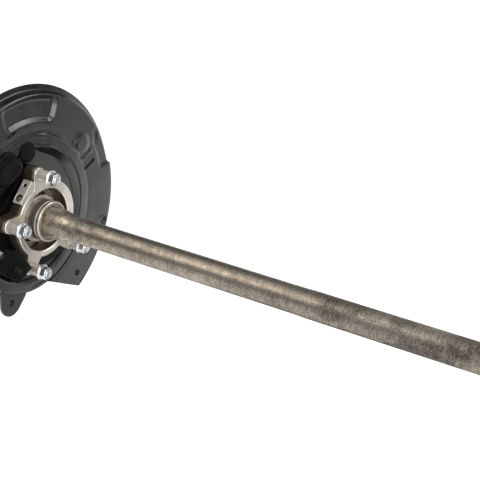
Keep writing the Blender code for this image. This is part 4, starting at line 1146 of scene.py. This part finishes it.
def white_to_the_eye(tree):
    """1 for camera, glossy and transmission rays, and 0 for the light that falls on things."""
    path = add(tree, "ShaderNodeLightPath").outputs
    shiny = math_node(tree, "MAXIMUM", path["Is Glossy Ray"], path["Is Transmission Ray"])
    return math_node(tree, "MAXIMUM", path["Is Camera Ray"], shiny)


PLAIN_LEVEL = 0.5
world = bpy.data.worlds.new("studio")
world.use_nodes = True
background = world.node_tree.nodes["Background"]
seen = spread(world.node_tree, white_to_the_eye(world.node_tree), 0.0, 1.0, PLAIN_LEVEL, 1.0)
world.node_tree.links.new(seen, background.inputs["Strength"])
background.inputs["Color"].default_value = colour("#ffffff")
bpy.context.scene.world = world


def softbox(name, place, size, level, tint, facing):
    """An area light that shines against the direction given. Its own brightness is the level, where 1 is white."""
    light = bpy.data.lights.new(name, "AREA")
    light.shape = "RECTANGLE"
    light.size, light.size_y = size
    light.energy = level * math.pi * size[0] * size[1]
    light.color = colour(tint)[:3]
    lamp = bpy.data.objects.new(name, light)
    lamp.matrix_world = Matrix.Translation(place) @ Vector(facing).to_track_quat("Z", "Y").to_matrix().to_4x4()
    bpy.context.scene.collection.objects.link(lamp)


KEY_PLACE, SIDE_PLACE, BACK_PLACE = (-0.75, -0.76, 1.38), (1.8, -0.75, 0.65), (0.9, 1.25, 1.3)
softbox("key", KEY_PLACE, (1.9, 0.7), 2.2, "#fff2dc", (0, *KEY_PLACE[1:]))
softbox("side", SIDE_PLACE, (1.2, 0.9), 3.5, "#ffffff", SIDE_PLACE)
softbox("back", BACK_PLACE, (0.9, 0.7), 3.0, "#ffffff", BACK_PLACE)


def flag_cloth():
    """Black cloth that only reflections meet. The camera and the light pass through it."""
    material, tree, shader = shader_start("black_flag_cloth", Roughness=1.0, Specular_IOR_Level=0.0)
    shader.inputs["Base Color"].default_value = colour("#1a1a1a")
    glossy = add(tree, "ShaderNodeLightPath").outputs["Is Glossy Ray"]
    clear = add(tree, "ShaderNodeBsdfTransparent").outputs[0]
    seen = add(tree, "ShaderNodeMixShader", {0: glossy, 1: clear, 2: shader.outputs[0]})
    tree.links.new(seen.outputs[0], tree.nodes["Material Output"].inputs["Surface"])
    return material


FLAG_CLOTH = flag_cloth()


def flag(name, corners):
    """A flat cloth that keeps the white room out of a reflection."""
    bm = bmesh.new()
    bm.faces.new([bm.verts.new(Vector(corner) / MM) for corner in corners])
    to_object(name, bm, FLAG_CLOTH)


flag("back_flag", ((-1.6, 0.9, 0.16), (0.2, 0.9, 0.16), (0.0, 0.5, 1.7), (-1.6, 0.5, 1.7)))
flag("front_flag", ((-1.2, -1.1, 0.03), (0.15, -1.1, 0.03), (0.15, -1.1, 0.95), (-1.2, -1.1, 0.95)))
flag("floor_flag", ((0.56, 0.0, -0.6), (1.15, 0.0, -0.6), (1.15, 1.11, -0.6), (0.56, 0.60, -0.6)))
flag("under_flag", ((-0.7, 0.2, -0.6), (0.3, 0.2, -0.6), (0.3, 1.0, -0.6), (-0.7, 1.0, -0.6)))
flag("ridge_flag", ((-0.02, 0.03, -0.6), (0.35, 0.03, -0.6), (0.35, 0.3, -0.6), (-0.02, 0.3, -0.6)))
flag("horizon_flag", ((0.45, 1.15, 0.02), (1.5, 0.55, 0.02), (1.5, 0.55, 0.5), (0.45, 1.15, 0.5)))
flag("far_flag", ((1.17, 0.0, -0.6), (2.4, 0.0, -0.6), (2.4, 3.0, -0.6), (1.17, 3.0, -0.6)))

floor_bm = bmesh.new()
bmesh.ops.create_grid(floor_bm, x_segments=1, y_segments=1, size=6000)
bmesh.ops.translate(floor_bm, vec=(0, 0, -620), verts=floor_bm.verts)
FLOOR_MATERIAL, floor_tree, floor_shader = shader_start("white_paper_floor", Roughness=0.9)
floor_shader.inputs["Base Color"].default_value = colour("#f4f4f2")
floor_shader.inputs["Emission Color"].default_value = colour("#ffffff")
floor_seen = math_node(floor_tree, "MULTIPLY", white_to_the_eye(floor_tree), 0.6)
floor_tree.links.new(floor_seen, floor_shader.inputs["Emission Strength"])
to_object("floor", floor_bm, FLOOR_MATERIAL)

scene = bpy.context.scene
scene.view_settings.view_transform = "Standard"
